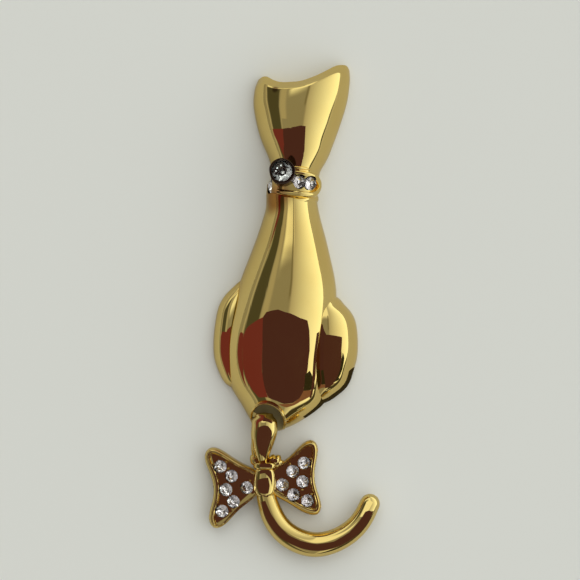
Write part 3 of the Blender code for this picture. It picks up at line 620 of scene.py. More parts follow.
rightHaunchSections = table("along left right crown", (
    (-0.02, 0.270, 0.345, 0.22), (0.00, 0.237, 0.378, 0.48), (0.05, 0.203, 0.422, 0.74),
    (0.11, 0.185, 0.470, 0.88), (0.19, 0.168, 0.517, 0.958), (0.31, 0.158, 0.543, 0.992),
    (0.45, 0.158, 0.550, 1.00), (0.60, 0.160, 0.539, 0.985), (0.71, 0.168, 0.511, 0.95),
    (0.82, 0.177, 0.477, 0.87), (0.89, 0.159, 0.431, 0.76), (0.95, 0.134, 0.366, 0.61),
    (1.00, 0.099, 0.297, 0.42), (1.03, 0.120, 0.230, 0.15),
))
headSections = table("along left right crown", (
    (0.00, -0.253, 0.263, 0.88), (0.10, -0.242, 0.263, 0.88), (0.18, -0.247, 0.314, 0.89),
    (0.25, -0.268, 0.356, 0.91), (0.35, -0.314, 0.402, 0.936), (0.45, -0.356, 0.446, 0.968),
    (0.55, -0.387, 0.486, 0.987), (0.65, -0.409, 0.523, 1.00), (0.75, -0.425, 0.552, 1.00),
    (0.85, -0.422, 0.568, 0.985), (0.93, -0.407, 0.575, 0.96), (1.00, -0.376, 0.570, 0.93),
))
headTop = table("across reach", (
    (-1.00, 0.879), (-0.91, 0.900), (-0.83, 0.904),
    (-0.70, 0.879), (-0.56, 0.858), (-0.30, 0.854),
    (-0.08, 0.862), (0.13, 0.887), (0.35, 0.923),
    (0.57, 0.967), (0.74, 0.996), (0.87, 0.9998),
    (0.96, 0.985), (1.00, 0.960),
))
headEdge = {"start": 0.93, "fall": 0.60, "wall": 1.4}
# shares of each form's length that are hollow, in the order that catForms takes them
hollows = {"body": (0.10, 0.855), "head": (0.28, 0.97), "haunch": (0.12, 0.88)}


def archPlaces(columns):
    turn = np.linspace(math.pi, 0, columns)
    return np.cos(turn), np.sin(turn)


def skewedArch(columns, crest, power):
    # an arch whose top lies away from the middle, and whose shorter side is fuller
    turn = np.linspace(math.pi, 0, columns)
    middle = 2 * crest - 1
    short = turn > math.pi / 2
    across = np.where(short, middle + (1 + middle) * np.cos(turn), middle + (1 - middle) * np.cos(turn))
    part = np.abs(np.cos(turn))
    rise = np.where(short, (1 - part**power) ** 0.5, np.sqrt(1 - part**2))
    return across, rise


def bodyGrid(sections, start, length, height, span, size, inset, arch=None):
    rows, columns = size
    first, last = span or sections["along"][[0, -1]]
    smooth = rowsBetween(sections, first, last, rows)
    across, rise = skewedArch(columns, *arch) if arch else archPlaces(columns)
    left = smooth["left"][:, None] * cat["bodyWidth"] + inset
    right = smooth["right"][:, None] * cat["bodyWidth"] - inset
    x = (left + right) / 2 + (right - left) / 2 * across
    y = -(start * cat["bodyLength"] + smooth["along"][:, None] * length) + 0 * x
    z = (smooth["crown"][:, None] * height - inset) * rise
    return np.stack((x, y, z), axis=2)


def headGrid(span, size, inset):
    rows, columns = size
    smooth = rowsBetween(headSections, *span, rows)
    across, rise = archPlaces(columns)
    reach = smoothThrough(headTop["across"], headTop["reach"], across)
    left = smooth["left"][:, None] * cat["headWidth"] + inset
    right = smooth["right"][:, None] * cat["headWidth"] - inset
    x = (left + right) / 2 + (right - left) / 2 * across
    y = smooth["along"][:, None] * (reach * cat["headLength"] - headEdge["wall"] * inset)
    z = (smooth["crown"][:, None] * cat["headHeight"] - inset) * rise
    if inset == 0:
        fall = np.clip((smooth["along"] - headEdge["start"]) / (1 - headEdge["start"]), 0, 1)
        z = z * (1 - (1 - headEdge["fall"]) * fall[:, None])
    return np.stack((x, y, z), axis=2)


def catForms(label, inset, fine, bodySpan, headSpan, haunchSpan):
    haunchSize = (fine * 2 // 3, fine // 2)
    grids = {
        "Body": bodyGrid(bodySections, 0, cat["bodyLength"], cat["bodyHeight"], bodySpan,
                         (fine * 3 // 2, fine), inset),
        "Head": headGrid(headSpan, (fine, fine), inset),
        "LeftHaunch": bodyGrid(leftHaunchSections, cat["leftHaunchStart"], cat["haunchLength"],
                               cat["leftHaunchHeight"], haunchSpan, haunchSize, inset),
        "RightHaunch": bodyGrid(rightHaunchSections, cat["rightHaunchStart"], cat["haunchLength"],
                                cat["rightHaunchHeight"], haunchSpan, haunchSize, inset, cat["haunchCrest"]),
    }
    return {name: underGrid(label + name, grid, -cat["skirt"]) for name, grid in grids.items()}


# Collar: a rounded band over the neck, a thin ridge above it, three stones and the dark cup
collar = {
    "width": 0.0081,
    "height": 0.0061,
    "band": 0.0037,
    "bandDrop": 0.0006,  # how far the band lies below the frame's top
    "bandShift": -0.0002,
    "tilt": math.radians(-7),
    "edge": 0.0004,
    "shift": 0.0002,
    "seatRing": 0.00014,
    "frameTube": 0.00042,
    "frameBase": 0.0033,
    "ridgeAt": 0.00215,
    "ridgeTube": 0.0002,
    "flange": (-0.0025, 0.0014, 0.00365, 0.00488),  # place along, length, half width and height
    "flangeTilt": math.radians(7),
    "flangeEdge": 0.0006,
    "bandInset": 0.8,  # how much of the drop the band's sides stand in
    "ridgeInset": 0.0002,
    "ridgeDrop": 0.0004,
    "ridgeTurns": (math.radians(52), math.pi - 0.02),
    "ridgeFade": (0.3, 8),  # how thin it starts, and the points that it takes to fill out
    "ridgeSteps": (48, 16),  # points along and sides round, as for the frame
    "frameSteps": (120, 20),
    "bandSteps": 96,
    "frameInset": 0.6,  # and the stone frame's sides, in its tube's own radius
    "cupStone": 0.0031,
    "cupWall": 0.00033,
    "cupHeight": 0.0041,
    "cupSunk": 0.0016,
    "cupLean": math.radians(6),
    "cupLeanUp": math.radians(4.2),
    "cupSpot": (-0.46, 0.357),
    "cupSeatTop": 0.004,
    "cupStoneTurn": 0.2,
    "stoneTurns": (0.3, 1.1, 0.7),
    "girdle": 0.16,  # how deep the cup's crystal lies, as a share of its width
    "lipRound": 0.35,
    "cupSteps": {"round": 96, "lip": 9, "side": 24},
    "cupCrease": math.radians(50),
    "cupPlain": (0.3, 0.45),  # shares of the lip that stay clean across its top, and down the outside
    "fullness": 3.0,  # how square the band and its frame are, where 2 is an ellipse
}
collarStones = table("across along lean sunk", ((0.20, 0.02, 7, 0.00042), (0.63, 0.02, 24, 0.00042),
                                                (-0.93, -0.30, -66, 0.00050)))
collarLie = Matrix.Translation((0, collar["shift"], 0)) @ Matrix.Rotation(collar["tilt"], 4, "Z")


def onCollar(across, along, leanSide, leanUp, fullness=2.0):
    level = collar["height"] * (1 - abs(across) ** fullness) ** (1 / fullness)
    spot = Matrix.Translation((across * collar["width"] / 2, along * collar["frameBase"], level))
    return collarLie @ spot @ Matrix.Rotation(leanSide, 4, "Y") @ Matrix.Rotation(-leanUp, 4, "X")


collarStoneFrames = [onCollar(a, b, math.radians(lean), 0, collar["fullness"] if a > 0 else 2.0)
                     @ Matrix.Translation((0, 0, -sunk)) for a, b, lean, sunk in zip(*collarStones.values())]
cupFrame = onCollar(*collar["cupSpot"], -collar["cupLean"], collar["cupLeanUp"])


def ovalBand(name, half, height, low, high, edge, fullness=2.0):
    # a short oval rod along Y with rounded ends
    def onOval(turn, radius, level):
        across, up = (math.copysign(abs(c) ** (2 / fullness), c) for c in (math.cos(turn), math.sin(turn)))
        return ((half - 1.0 + radius) * across, level, (height - 1.0 + radius) * up)

    rounded = roundedRod(1.0, low, high, edge)
    return turned(name, rounded, collar["bandSteps"], onOval, lambda level: (0, level, 0))


def makeBand():
    half = collar["width"] / 2 - collar["bandDrop"] * collar["bandInset"]
    low, high = collar["bandShift"] - collar["band"] / 2, collar["bandShift"] + collar["band"] / 2
    height = collar["height"] - collar["bandDrop"]
    band = ovalBand("collarBand", half, height, low, high, collar["edge"], collar["fullness"])
    return place(band, collarLie)


def makeFlange():
    along, length, half, height = collar["flange"]
    band = ovalBand("neckFlange", half, height, -length / 2, length / 2, collar["flangeEdge"])
    return place(band, Matrix.Translation((0, along, 0)) @ Matrix.Rotation(collar["flangeTilt"], 4, "Z"))


def makeRidge():
    along, sides = collar["ridgeSteps"]
    turns = np.linspace(*collar["ridgeTurns"], along)
    half, height = collar["width"] / 2 - collar["ridgeInset"], collar["height"] - collar["ridgeDrop"]
    points = [(half * math.cos(t), collar["ridgeAt"], height * math.sin(t)) for t in turns]
    thin, filled = collar["ridgeFade"]
    fade = [collar["ridgeTube"] * min(1, thin + i / filled) for i in range(len(points))]
    return place(tubeAlong("collarRidge", points, fade, sides), collarLie)


# raised frame round the collar stones: share across, millimetres along the neck
frameRoute = table("across along", (
    (-0.60, -1.55), (-0.30, -1.55), (0.00, -1.52), (0.25, -1.50), (0.50, -1.47), (0.72, -1.35), (0.87, -1.00),
    (0.95, -0.45), (0.97, 0.10), (0.94, 0.65), (0.84, 1.15), (0.68, 1.42), (0.45, 1.50), (0.20, 1.52),
    (-0.05, 1.52), (-0.30, 1.50),
))


def makeStoneFrame():
    steps, sides = collar["frameSteps"]
    _, across, along = alongRoute(frameRoute, steps)
    along = along * 0.001 + collar["bandShift"]
    tube, fullness = collar["frameTube"], collar["fullness"]
    half, height = collar["width"] / 2 - tube * collar["frameInset"], collar["height"] - tube
    points = [(half * a, y, height * max(0.0, 1 - abs(a) ** fullness) ** (1 / fullness))
              for a, y in zip(across, along)]
    return place(tubeAlong("stoneFrame", points, [tube] * len(points), sides), collarLie)


# Recess, its bright rim, and the plate that carries the rivet
recess = {
    "long": 0.00293,
    "short": 0.00248,
    "turn": math.radians(135),
    "lip": 0.0003,
    "rise": 0.00022,
    "rimTube": 0.00021,
    "plateTop": 0.0019,
    "plateThickness": 0.0010,
    "rivet": 0.0006,
    "rivetHead": 0.00105,
    "rivetHeadThickness": 0.00045,
    "rivetGap": 0.00008,
    "runGap": 0.00015,
    "sweepGap": 0.00024,
    "dropRound": 0.0019,
    "rivetEdge": 0.00018,
    "postTop": 0.0035,
    "overlap": 0.0001,
    "rimSteps": 160,
    "rimSides": 20,
    "wellSteps": 96,
    "rimInset": 0.9,
    "rimRise": 0.00004,
    "below": -0.002,  # how far cutters reach under and over the brooch
    "above": 0.02,
}


def spotOnBody(shares):
    return Vector((shares[0] * cat["bodyWidth"], shares[1] * cat["bodyLength"], 0))


def recessLie():
    return Matrix.Translation(spotOnBody(cat["recessSpot"])) @ Matrix.Rotation(recess["turn"], 4, "Z")


def ovalPost(name, long, short, low, high):
    post = spun(name, [(0, high), (1, high), (1, low), (0, low)], recess["wellSteps"])
    return place(post, recessLie() @ Matrix.Diagonal((long, short, 1, 1)))


def makeRecessRim(body):
    # follows the recess's edge over the body's own surface, as far as the body reaches
    surface, lie = cornerNormals(body)["tree"], recessLie()
    inset = recess["rimTube"] * recess["rimInset"]
    long, short, steps = recess["long"] - inset, recess["short"] - inset, recess["rimSteps"]
    points = []
    for k in range(steps):
        angle = 2 * math.pi * k / steps
        flat = lie @ Vector((long * math.cos(angle), short * math.sin(angle), 0))
        hit = surface.ray_cast(Vector((flat.x, flat.y, recess["above"])), Vector((0, 0, -1)))[0]
        points.append(Vector((flat.x, flat.y, hit.z)) if hit and hit.z > recess["plateTop"] else None)
    start = next(k for k in range(steps) if points[k] is not None and points[k - 1] is None)
    run = []
    for k in range(steps):
        point = points[(start + k) % steps]
        if point is None:
            break
        run.append(point + Vector((0, 0, recess["rimRise"])))
    return tubeAlong("recessRim", run, [recess["rimTube"]] * len(run), recess["rimSides"])


def rod(name, radius, low, high, centre, steps=48):
    made = spun(name, [(0, high), (radius, high), (radius, low), (0, low)], steps)
    return place(made, Matrix.Translation((centre[0], centre[1], 0)))


def block(name, low, high):
    bm = bmesh.new()
    bmesh.ops.create_cube(bm, size=1)
    low, high = Vector(low), Vector(high)
    bmesh.ops.scale(bm, vec=high - low, verts=bm.verts)
    bmesh.ops.translate(bm, vec=(low + high) / 2, verts=bm.verts)
    return fromBmesh(name, bm)


def finishCast(made, sources, slots, offset):
    # sources is (form, slot) for each form that leaves a face on the cast
    readings = [cornerNormals(form) for form, _ in sources]
    made.data.materials.clear()
    for slot in slots:
        made.data.materials.append(slot)
    readNormals(made, readings, [slot for _, slot in sources])
    place(made, Matrix.Translation(offset))
    for form, _ in sources:
        if form.name in bpy.data.objects and form is not made:
            bpy.data.objects.remove(form)
    return made


def copyOf(form):
    return addObject(form.name + "Copy", form.data.copy())


def makeCatBody():
    outer = catForms("outer", 0.0, cat["fine"], cat["span"], (0, 1), None)
    band, ridge, flange, stoneFrame = makeBand(), makeRidge(), makeFlange(), makeStoneFrame()
    low, high, top = recess["below"], recess["above"], recess["plateTop"]
    lipGrid = bodyGrid(bodySections, 0, cat["bodyLength"], cat["bodyHeight"], cat["lipSpan"],
                       (cat["lipRows"], cat["fine"]), -recess["rise"])
    lip = underGrid("lip", lipGrid, -cat["skirt"])
    trim = ovalPost("lipTrim", recess["long"], recess["short"], low, high)
    lipPost = combine(copyOf(lip), [trim], "INTERSECT")
    rim = makeRecessRim(lip)
    spot = spotOnBody(cat["rivetSpot"])
    plate = rod("plate", recess["dropRound"] - recess["runGap"], -cat["skirt"], top, spot)
    far, deep = cat["beyond"]
    below = block("below", (-far, -far, -deep), (far, far, 0))
    inner = catForms("hollow", cat["wall"], cat["hollowFine"], *hollows.values())
    well = ovalPost("well", recess["long"] - recess["lip"], recess["short"] - recess["lip"], top, high)
    sweep = rod("sweep", recess["dropRound"] + recess["sweepGap"], top, high, spot, recess["wellSteps"])
    hole = rod("rivetHole", recess["rivet"] + recess["rivetGap"], low, high, spot)
    counterbore = rod("counterbore", recess["rivetHead"] + 2 * recess["runGap"], low,
                      top - recess["plateThickness"], spot)
    seats = [stoneSeat(f"collarSeat{i}", f, collar["seatRing"]) for i, f in enumerate(collarStoneFrames)]
    cupRadius = collar["cupStone"] / 2 + small["gap"] + collar["cupWall"]
    cupSeat = rod("cupSeat", cupRadius + small["gap"], -collar["cupSunk"] - small["gap"],
                  collar["cupSeatTop"], (0, 0))
    seats.append(place(cupSeat, cupFrame))
    body, *others = outer.values()
    cast = combine(copyOf(body), [*others, band, flange, stoneFrame, ridge, lipPost, plate], "UNION")
    cutters = [below, *inner.values(), well, sweep, hole, counterbore, *seats]
    cast = combine(cast, cutters[:-4], "DIFFERENCE")
    cast = combine(cast, [rim], "UNION")
    cast = combine(cast, [sweep] + cutters[-4:], "DIFFERENCE")
    shown = (*outer.values(), band, flange, stoneFrame, ridge, lip, trim, plate, rim)
    sources = [(form, 0) for form in shown]
    sources += [(form, 1) for form in (below, *inner.values(), hole, counterbore)]
    # the stone seats take the near-black finish, which is painted shade round each stone
    sources += [(form, 3) for form in (well, sweep)] + [(form, 2) for form in seats]
    cast = finishCast(cast, sources, (gold, castGold, seatShade, satinGold), collarCentre)
    bpy.data.objects.remove(lipPost)
    cast.name = "cast_cat"
    return cast

# the solder's lumps round the cup: size, swells a turn, climb and start of each wave
wear = {
    "shift": -0.00004,
    "waves": 0.000028,
    "blob": 0.00024,
    "blobTurn": 0.9,
    "lumps": ((1.0, 3, 0, 1.0), (0.7, 5, 2400, 0), (0.5, 9, -3100, 0)),
}


def makeCup():
    bore, lip, gap = collar["cupStone"] / 2 + small["gap"], collar["cupWall"], small["gap"]
    outer = bore + lip
    top = collar["cupHeight"] - collar["cupSunk"]
    girdle = top - collar["girdle"] * collar["cupStone"]
    floor = girdle - stoneCut["depth"] * collar["cupStone"] - gap
    low, tall = -collar["cupSunk"], collar["lipRound"]
    steps, (plainTop, plainSide) = collar["cupSteps"], collar["cupPlain"]
    profile = [(0, floor), (small["foot"] * bore, floor), (bore, girdle - gap), (bore, top - tall * lip)]
    for turn in np.linspace(math.pi, 0, steps["lip"]):
        level = top - tall * lip + tall * lip * math.sin(turn)
        profile.append((bore + lip / 2 + lip / 2 * math.cos(turn), level))
    side = np.linspace(top - plainSide * lip, low, steps["side"])
    profile += [(outer, level) for level in side] + [(0, low)]

    def wobble(turn, radius, level):
        # solder and wear leave the cup's outside lumpy
        if radius < bore + plainTop * lip:
            return 0.0
        waves = sum(size * math.sin(swells * turn + climb * level + start)
                    for size, swells, climb, start in wear["lumps"])
        blob = wear["blob"] * max(0.0, math.cos(turn + wear["blobTurn"]))
        return wear["shift"] + wear["waves"] * waves + blob

    cup = spun("solder_cup", list(reversed(profile)), steps["round"], wobble)
    cup.data.shade_smooth()
    cup.data.set_sharp_from_angle(angle=collar["cupCrease"])
    cup.data.materials.append(cupMetal)
    lie = Matrix.Translation(collarCentre) @ cupFrame
    place(cup, lie)
    stoneLie = lie @ Matrix.Translation((0, 0, girdle))
    stone = setStones("cup_crystal", [stoneLie], collar["cupStone"], cupCrystal, [collar["cupStoneTurn"]])
    return cup, stone


catCast = makeCatBody()
print("cat cast", len(catCast.data.polygons))
solderCup, cupStone = makeCup()
offset = Matrix.Translation(collarCentre)
collarCrystals = setStones("collar_crystals", [offset @ f for f in collarStoneFrames], small["stone"],
                           clearCrystal, collar["stoneTurns"])
print("collar stones set")

# Tail: drop, neck, pleats, knot, wings and hook, all one cast, placed from the rivet
drop = {
    "length": 0.00875,
    "width": 0.0040,
    "thickness": 0.0033,
    "neckLevel": 0.0029,
    "bendStart": 0.15,
    "bendLength": 0.6,
    "steps": (80, 72),  # along and round
}
dropSections = table("along shift half thick", (
    (-0.194, -0.011, 0.030, 0.06), (-0.180, -0.011, 0.225, 0.36), (-0.149, -0.011, 0.322, 0.60),
    (-0.081, -0.011, 0.434, 0.85), (0.014, -0.011, 0.480, 0.97), (0.125, -0.020, 0.494, 1.00),
    (0.228, -0.045, 0.472, 0.97), (0.348, -0.075, 0.412, 0.88), (0.468, -0.098, 0.333, 0.74),
    (0.588, -0.094, 0.240, 0.58), (0.674, -0.075, 0.191, 0.47), (0.794, -0.015, 0.191, 0.46),
))
knot = {
    "length": 0.00405,
    "width": 0.0030,
    "waist": 0.0022,
    "level": 0.0026,
    "lift": 0.00045,
    "stretch": (1.12, 1, 0.86, 1),
    "round": (2.6, 0.6),  # how full the barrel is between its middle and its ends
    "band": 0.0009,
    "bandEdge": 0.00035,
    "edgeSteps": 6,
    "steps": (25, 64),
    "overlap": 0.0001,
}
pleat = {"side": 0.0009, "up": 0.3, "sunk": 0.0001, "start": -0.12, "thin": 0.06, "tall": 1.5,
         "steps": (18, 20), "blunt": 5, "swell": (0.8, 0.4, 3)}
# ribbon folds above the knot: side, degrees from upright, length, half width
pleats = table("side angle length half", (
    (-1, 13, 0.0042, 0.00055), (-1, 34, 0.0021, 0.00062), (1, 14, 0.0019, 0.00062),
    (1, 40, 0.0022, 0.00066), (1, 66, 0.0021, 0.00055),
))
wing = {
    "span": 0.0090,
    "thickness": 0.0018,
    "top": 0.0034,
    "droop": math.radians(6),
    "rim": 0.00076,
    "sunk": 0.0005,
    "stoneRise": 0.00016,
    "stoneTurn": 0.37,  # each crystal's turn beyond the one before
    "seatRing": 0.00005,
    "beadWidth": 0.00036,
    "beadLevel": 0.00020,
    "beadTurn": (35, 77),  # degrees round the first stone, and on to the next
    "beadGap": (0.55, 1.1),  # shares of a bead: its middle beyond its stone's edge, and between two
    "beadInside": 0.0006,
    "rimFoot": 0.0009,
    "rimSunk": 0.0001,
    "rimLeast": 0.25,  # the share below which a thin rim gets no narrower
    "rimFrom": 0.3,  # and from which it has a foot of its own
    "outline": 240,
    "evenness": 0.6,  # 1 spaces the curve's corners by their distance, 0 evenly
    "pad": 0.0003,
    "step": 0.00007,
    "spare": 0.001,
    "edge": 0.0005,  # how far in the floor's rolled edge reaches
    "roll": 0.0006,
    "rollFade": 1.5,
}
# corners from the knot's centre as shares of the span, with the rim's own share at each
leftWing = table("x y rim", (
    (-0.10, 0.13, 0.9), (-0.42, 0.32, 1.0), (-0.75, 0.525, 1.1), (-0.925, 0.56, 1.2), (-1.015, 0.43, 1.1),
    (-0.91, 0.08, 1.3), (-0.88, -0.28, 1.2), (-0.945, -0.62, 1.2), (-0.87, -0.765, 1.0), (-0.72, -0.745, 0.2),
    (-0.45, -0.48, 0.2), (-0.10, -0.15, 0.4),
))
rightWing = table("x y rim", (
    (0.10, 0.15, 0.5), (0.37, 0.37, 0.6), (0.62, 0.605, 0.8), (0.79, 0.69, 1.4), (0.885, 0.60, 1.3),
    (0.85, 0.22, 1.0), (0.87, -0.10, 1.0), (0.95, -0.43, 1.1), (0.88, -0.55, 1.3), (0.67, -0.52, 1.3),
    (0.40, -0.36, 1.1), (0.10, -0.14, 0.7),
))
leftWingStones = table("x y", (
    (-0.755, 0.250), (-0.567, 0.092), (-0.658, -0.133), (-0.533, -0.333), (-0.725, -0.493), (-0.312, -0.100),
))
rightWingStones = table("x y", (
    (0.665, 0.310), (0.473, 0.172), (0.300, -0.050), (0.640, 0.000), (0.488, -0.217), (0.722, -0.317),
))
hook = {"reach": 0.01578, "tube": 0.00375, "level": 0.00195, "rings": 90, "sides": 48, "easeRows": 3,
        "endTurns": (12, 24, 36, 48, 58, 67, 75, 82, 87)}
hookRoute = table("x y tube", (
    (0.005, -0.06, 0.68), (0.014, -0.144, 0.78), (0.070, -0.317, 0.90), (0.192, -0.486, 0.96),
    (0.385, -0.587, 1.00), (0.577, -0.591, 0.97), (0.769, -0.510, 0.91), (0.913, -0.375, 0.85),
    (1.000, -0.212, 0.80),
))
wingSides = ((-1, "left", leftWing, leftWingStones), (1, "right", rightWing, rightWingStones))
knotSpot = Vector((0, -drop["length"], knot["level"]))


def loftRings(name, rings):
    bm = bmesh.new()
    made = [[bm.verts.new(p) for p in ring] for ring in rings]
    skinRings(bm, made, len(made[0]))
    bm.faces.new(made[0])
    bm.faces.new(made[-1])
    return fromBmesh(name, bm)


def makeDrop():
    rows, sides = drop["steps"]
    smooth = rowsBetween(dropSections, *dropSections["along"][[0, -1]], rows)
    turn = np.linspace(0, 2 * math.pi, sides, endpoint=False)
    middle = recess["plateTop"] + recess["runGap"] + drop["thickness"] / 2
    bend = ease((smooth["along"] - drop["bendStart"]) / drop["bendLength"])
    level = middle + (drop["neckLevel"] - middle) * bend
    rings = []
    for i, along in enumerate(smooth["along"]):
        x = (smooth["shift"][i] + smooth["half"][i] * np.cos(turn)) * drop["width"]
        z = level[i] + smooth["thick"][i] * drop["thickness"] / 2 * np.sin(turn)
        rings.append([(px, -along * drop["length"], pz) for px, pz in zip(x, z)])
    return loftRings("drop", rings)


def makeKnot():
    half = knot["length"] / 2
    lie = Matrix.Translation(knotSpot + Vector((0, 0, knot["lift"]))) @ Matrix.Diagonal(knot["stretch"])
    lie = lie @ Matrix.Rotation(math.pi / 2, 4, "X")
    bulge = [(0, half)]
    rows, sides = knot["steps"]
    for along in np.linspace(1, -1, rows):
        share = (1 - abs(along) ** knot["round"][0]) ** knot["round"][1]
        bulge.append((knot["waist"] / 2 + (knot["width"] - knot["waist"]) / 2 * share, half * along))
    barrel = spun("knot", bulge + [(0, -half)], sides)
    low, high = -half - knot["band"], -half + knot["overlap"]
    band = roundedRod(knot["width"] / 2, low, high, knot["bandEdge"], knot["edgeSteps"])
    band = spun("knotBand", band, sides)
    return [place(barrel, lie), place(band, lie)]


def makePleat(i):
    side, angle, length, half = (pleats[k][i] for k in ("side", "angle", "length", "half"))
    up = knot["length"] / 2 + knot["band"] * pleat["up"]
    root = knotSpot + Vector((side * pleat["side"], up, -pleat["sunk"]))
    turn = Matrix.Rotation(-side * math.radians(angle), 4, "Z")
    rings = []
    (rows, sides), (least, more, waves) = pleat["steps"], pleat["swell"]
    for along in np.linspace(pleat["start"], 1, rows):
        # the fold swells and narrows along its length
        out = max(along, 0)
        swell = math.sqrt(max(0.0, 1 - out ** pleat["blunt"])) * (least + more * math.sin(waves * out) ** 2)
        wide = half * max(swell, pleat["thin"])
        spots = [(wide * math.cos(t), along * length, pleat["tall"] * wide * math.sin(t))
                 for t in np.linspace(0, 2 * math.pi, sides, endpoint=False)]
        rings.append([turn @ Vector(spot) + root for spot in spots])
    return loftRings(f"pleat{i}", rings)


def makeHook():
    at, x, y, tube = alongRoute(hookRoute, hook["rings"])
    radii = list(tube * hook["tube"] / 2)
    level = knotSpot.z + (hook["level"] - knotSpot.z) * ease(at / hook["easeRows"])
    spots = zip(knotSpot.x + x * hook["reach"], knotSpot.y + y * hook["reach"], level)
    points = [Vector(spot) for spot in spots]
    end, ahead, last = points[-1], (points[-1] - points[-2]).normalized(), radii[-1]
    for turn in np.radians(hook["endTurns"]):
        points.append(end + ahead * last * math.sin(turn))
        radii.append(last * math.cos(turn))
    return tubeAlong("hook", points, radii, hook["sides"], tailGold)


def closedOutline(corners):
    # a closed smooth line through the wing's corners, by its own length
    points = np.stack((corners["x"], corners["y"], corners["rim"]), axis=1)
    wrapped = np.concatenate((points[-4:], points, points[:5]))
    steps = np.linalg.norm(np.diff(wrapped[:, :2], axis=0), axis=1) ** wing["evenness"]
    along = np.concatenate(((0,), np.cumsum(steps)))
    at = np.linspace(along[4], along[4 + len(points)], wing["outline"], endpoint=False)
    return np.stack([smoothThrough(along, wrapped[:, k], at) for k in range(3)], axis=1)


def wingFrame(side):
    lie = Matrix.Translation((knotSpot.x, knotSpot.y, wing["top"]))
    return lie @ Matrix.Rotation(side * wing["droop"], 4, "Y")


def wingStoneFrames(side, stones):
    level = wing["stoneRise"] - wing["sunk"]
    return [wingFrame(side) @ Matrix.Translation((x * wing["span"], y * wing["span"], level))
            for x, y in zip(stones["x"], stones["y"])]


def makeWing(side, name, corners, stones):
    outline = closedOutline(corners)
    line = outline[:, :2] * wing["span"]
    low, high = line.min(axis=0) - wing["pad"], line.max(axis=0) + wing["pad"]
    step, sunk = wing["step"], wing["sunk"]
    xs = np.arange(low[0], high[0] + step, step)
    ys = np.arange(low[1], high[1] + step, step)
    gx, gy = np.meshgrid(xs, ys)
    away = np.full(gx.shape, 1.0)
    rimShare = np.zeros(gx.shape)
    for (ax, ay), (bx, by), ra in zip(line, np.roll(line, -1, axis=0), outline[:, 2]):
        span = (bx - ax) ** 2 + (by - ay) ** 2
        t = np.clip(((gx - ax) * (bx - ax) + (gy - ay) * (by - ay)) / span, 0, 1)
        gap = np.hypot(gx - ax - t * (bx - ax), gy - ay - t * (by - ay))
        nearer = gap < away
        away = np.where(nearer, gap, away)
        rimShare = np.where(nearer, ra, rimShare)
    # round-topped rim, then the sunk floor; where the rim's share is low the floor rolls over the edge
    rimWidth = wing["rim"] * np.clip(rimShare, wing["rimLeast"], None)
    across = np.clip(away / rimWidth, 0, 1)
    tall = np.clip(rimShare, 0, 1)
    shoulder = np.sqrt(np.clip(1 - (1 - np.clip(away / wing["edge"], 0, 1)) ** 2, 0, 1))
    ridge = np.sqrt(np.clip(1 - (2 * across - 1) ** 2, 0, 1))
    floorLevel = -sunk - wing["roll"] * (1 - shoulder) * (1 - ease(tall * wing["rollFade"]))
    z = np.maximum(floorLevel, (sunk + wing["rimSunk"]) * (tall * ridge - 1))
    footed = (away < rimWidth / 2) & (tall > wing["rimFrom"])
    z = np.where(footed, np.minimum(z, wing["rimFoot"] * (ridge - 1)), z)
    relief = underGrid(name + "Relief", np.stack((gx, gy, z), axis=2), -wing["thickness"])
    bm = bmesh.new()
    top = [bm.verts.new((x, y, wing["spare"])) for x, y in line]
    bottom = [bm.verts.new((x, y, -wing["thickness"] - wing["spare"])) for x, y in line]
    bm.faces.new(top)
    bm.faces.new(bottom)
    skinRings(bm, (top, bottom), len(top))
    prism = fromBmesh(name + "Prism", bm)
    beadSpots = []
    centres = np.stack((stones["x"], stones["y"]), axis=1) * wing["span"]
    reach = small["stone"] / 2 + wing["beadWidth"] * wing["beadGap"][0]
    apart = wing["beadWidth"] * wing["beadGap"][1]
    for i, (sx, sy) in enumerate(centres):
        turn = np.radians(wing["beadTurn"][0] + wing["beadTurn"][1] * i)
        bx, by = sx + reach * math.cos(turn), sy + reach * math.sin(turn)
        others = [np.hypot(bx - ox, by - oy) for j, (ox, oy) in enumerate(centres) if j != i]
        beads = [np.hypot(bx - ox, by - oy) for ox, oy in beadSpots]
        clearOf = min(others) > small["stone"] / 2 and min(beads, default=1) > apart
        row, column = int((by - low[1]) / step), int((bx - low[0]) / step)
        if clearOf and away[row, column] > wing["beadInside"]:
            beadSpots.append((bx, by))
    beadFrames = [Matrix.Translation((bx, by, wing["beadLevel"] - sunk)) for bx, by in beadSpots]
    beads = setStones(name + "Beads", beadFrames, wing["beadWidth"], tailGold, [0.0] * len(beadSpots),
                      beadPattern)
    seats = [stoneSeat(f"{name}Seat{i}", f, wing["seatRing"])
             for i, f in enumerate(wingStoneFrames(side, stones))]
    for form in (relief, prism, beads):
        place(form, wingFrame(side))
    body = combine(copyOf(relief), [prism], "INTERSECT")
    body = combine(body, [beads], "UNION")
    body = combine(body, seats, "DIFFERENCE")
    return body, (relief, prism, beads), seats


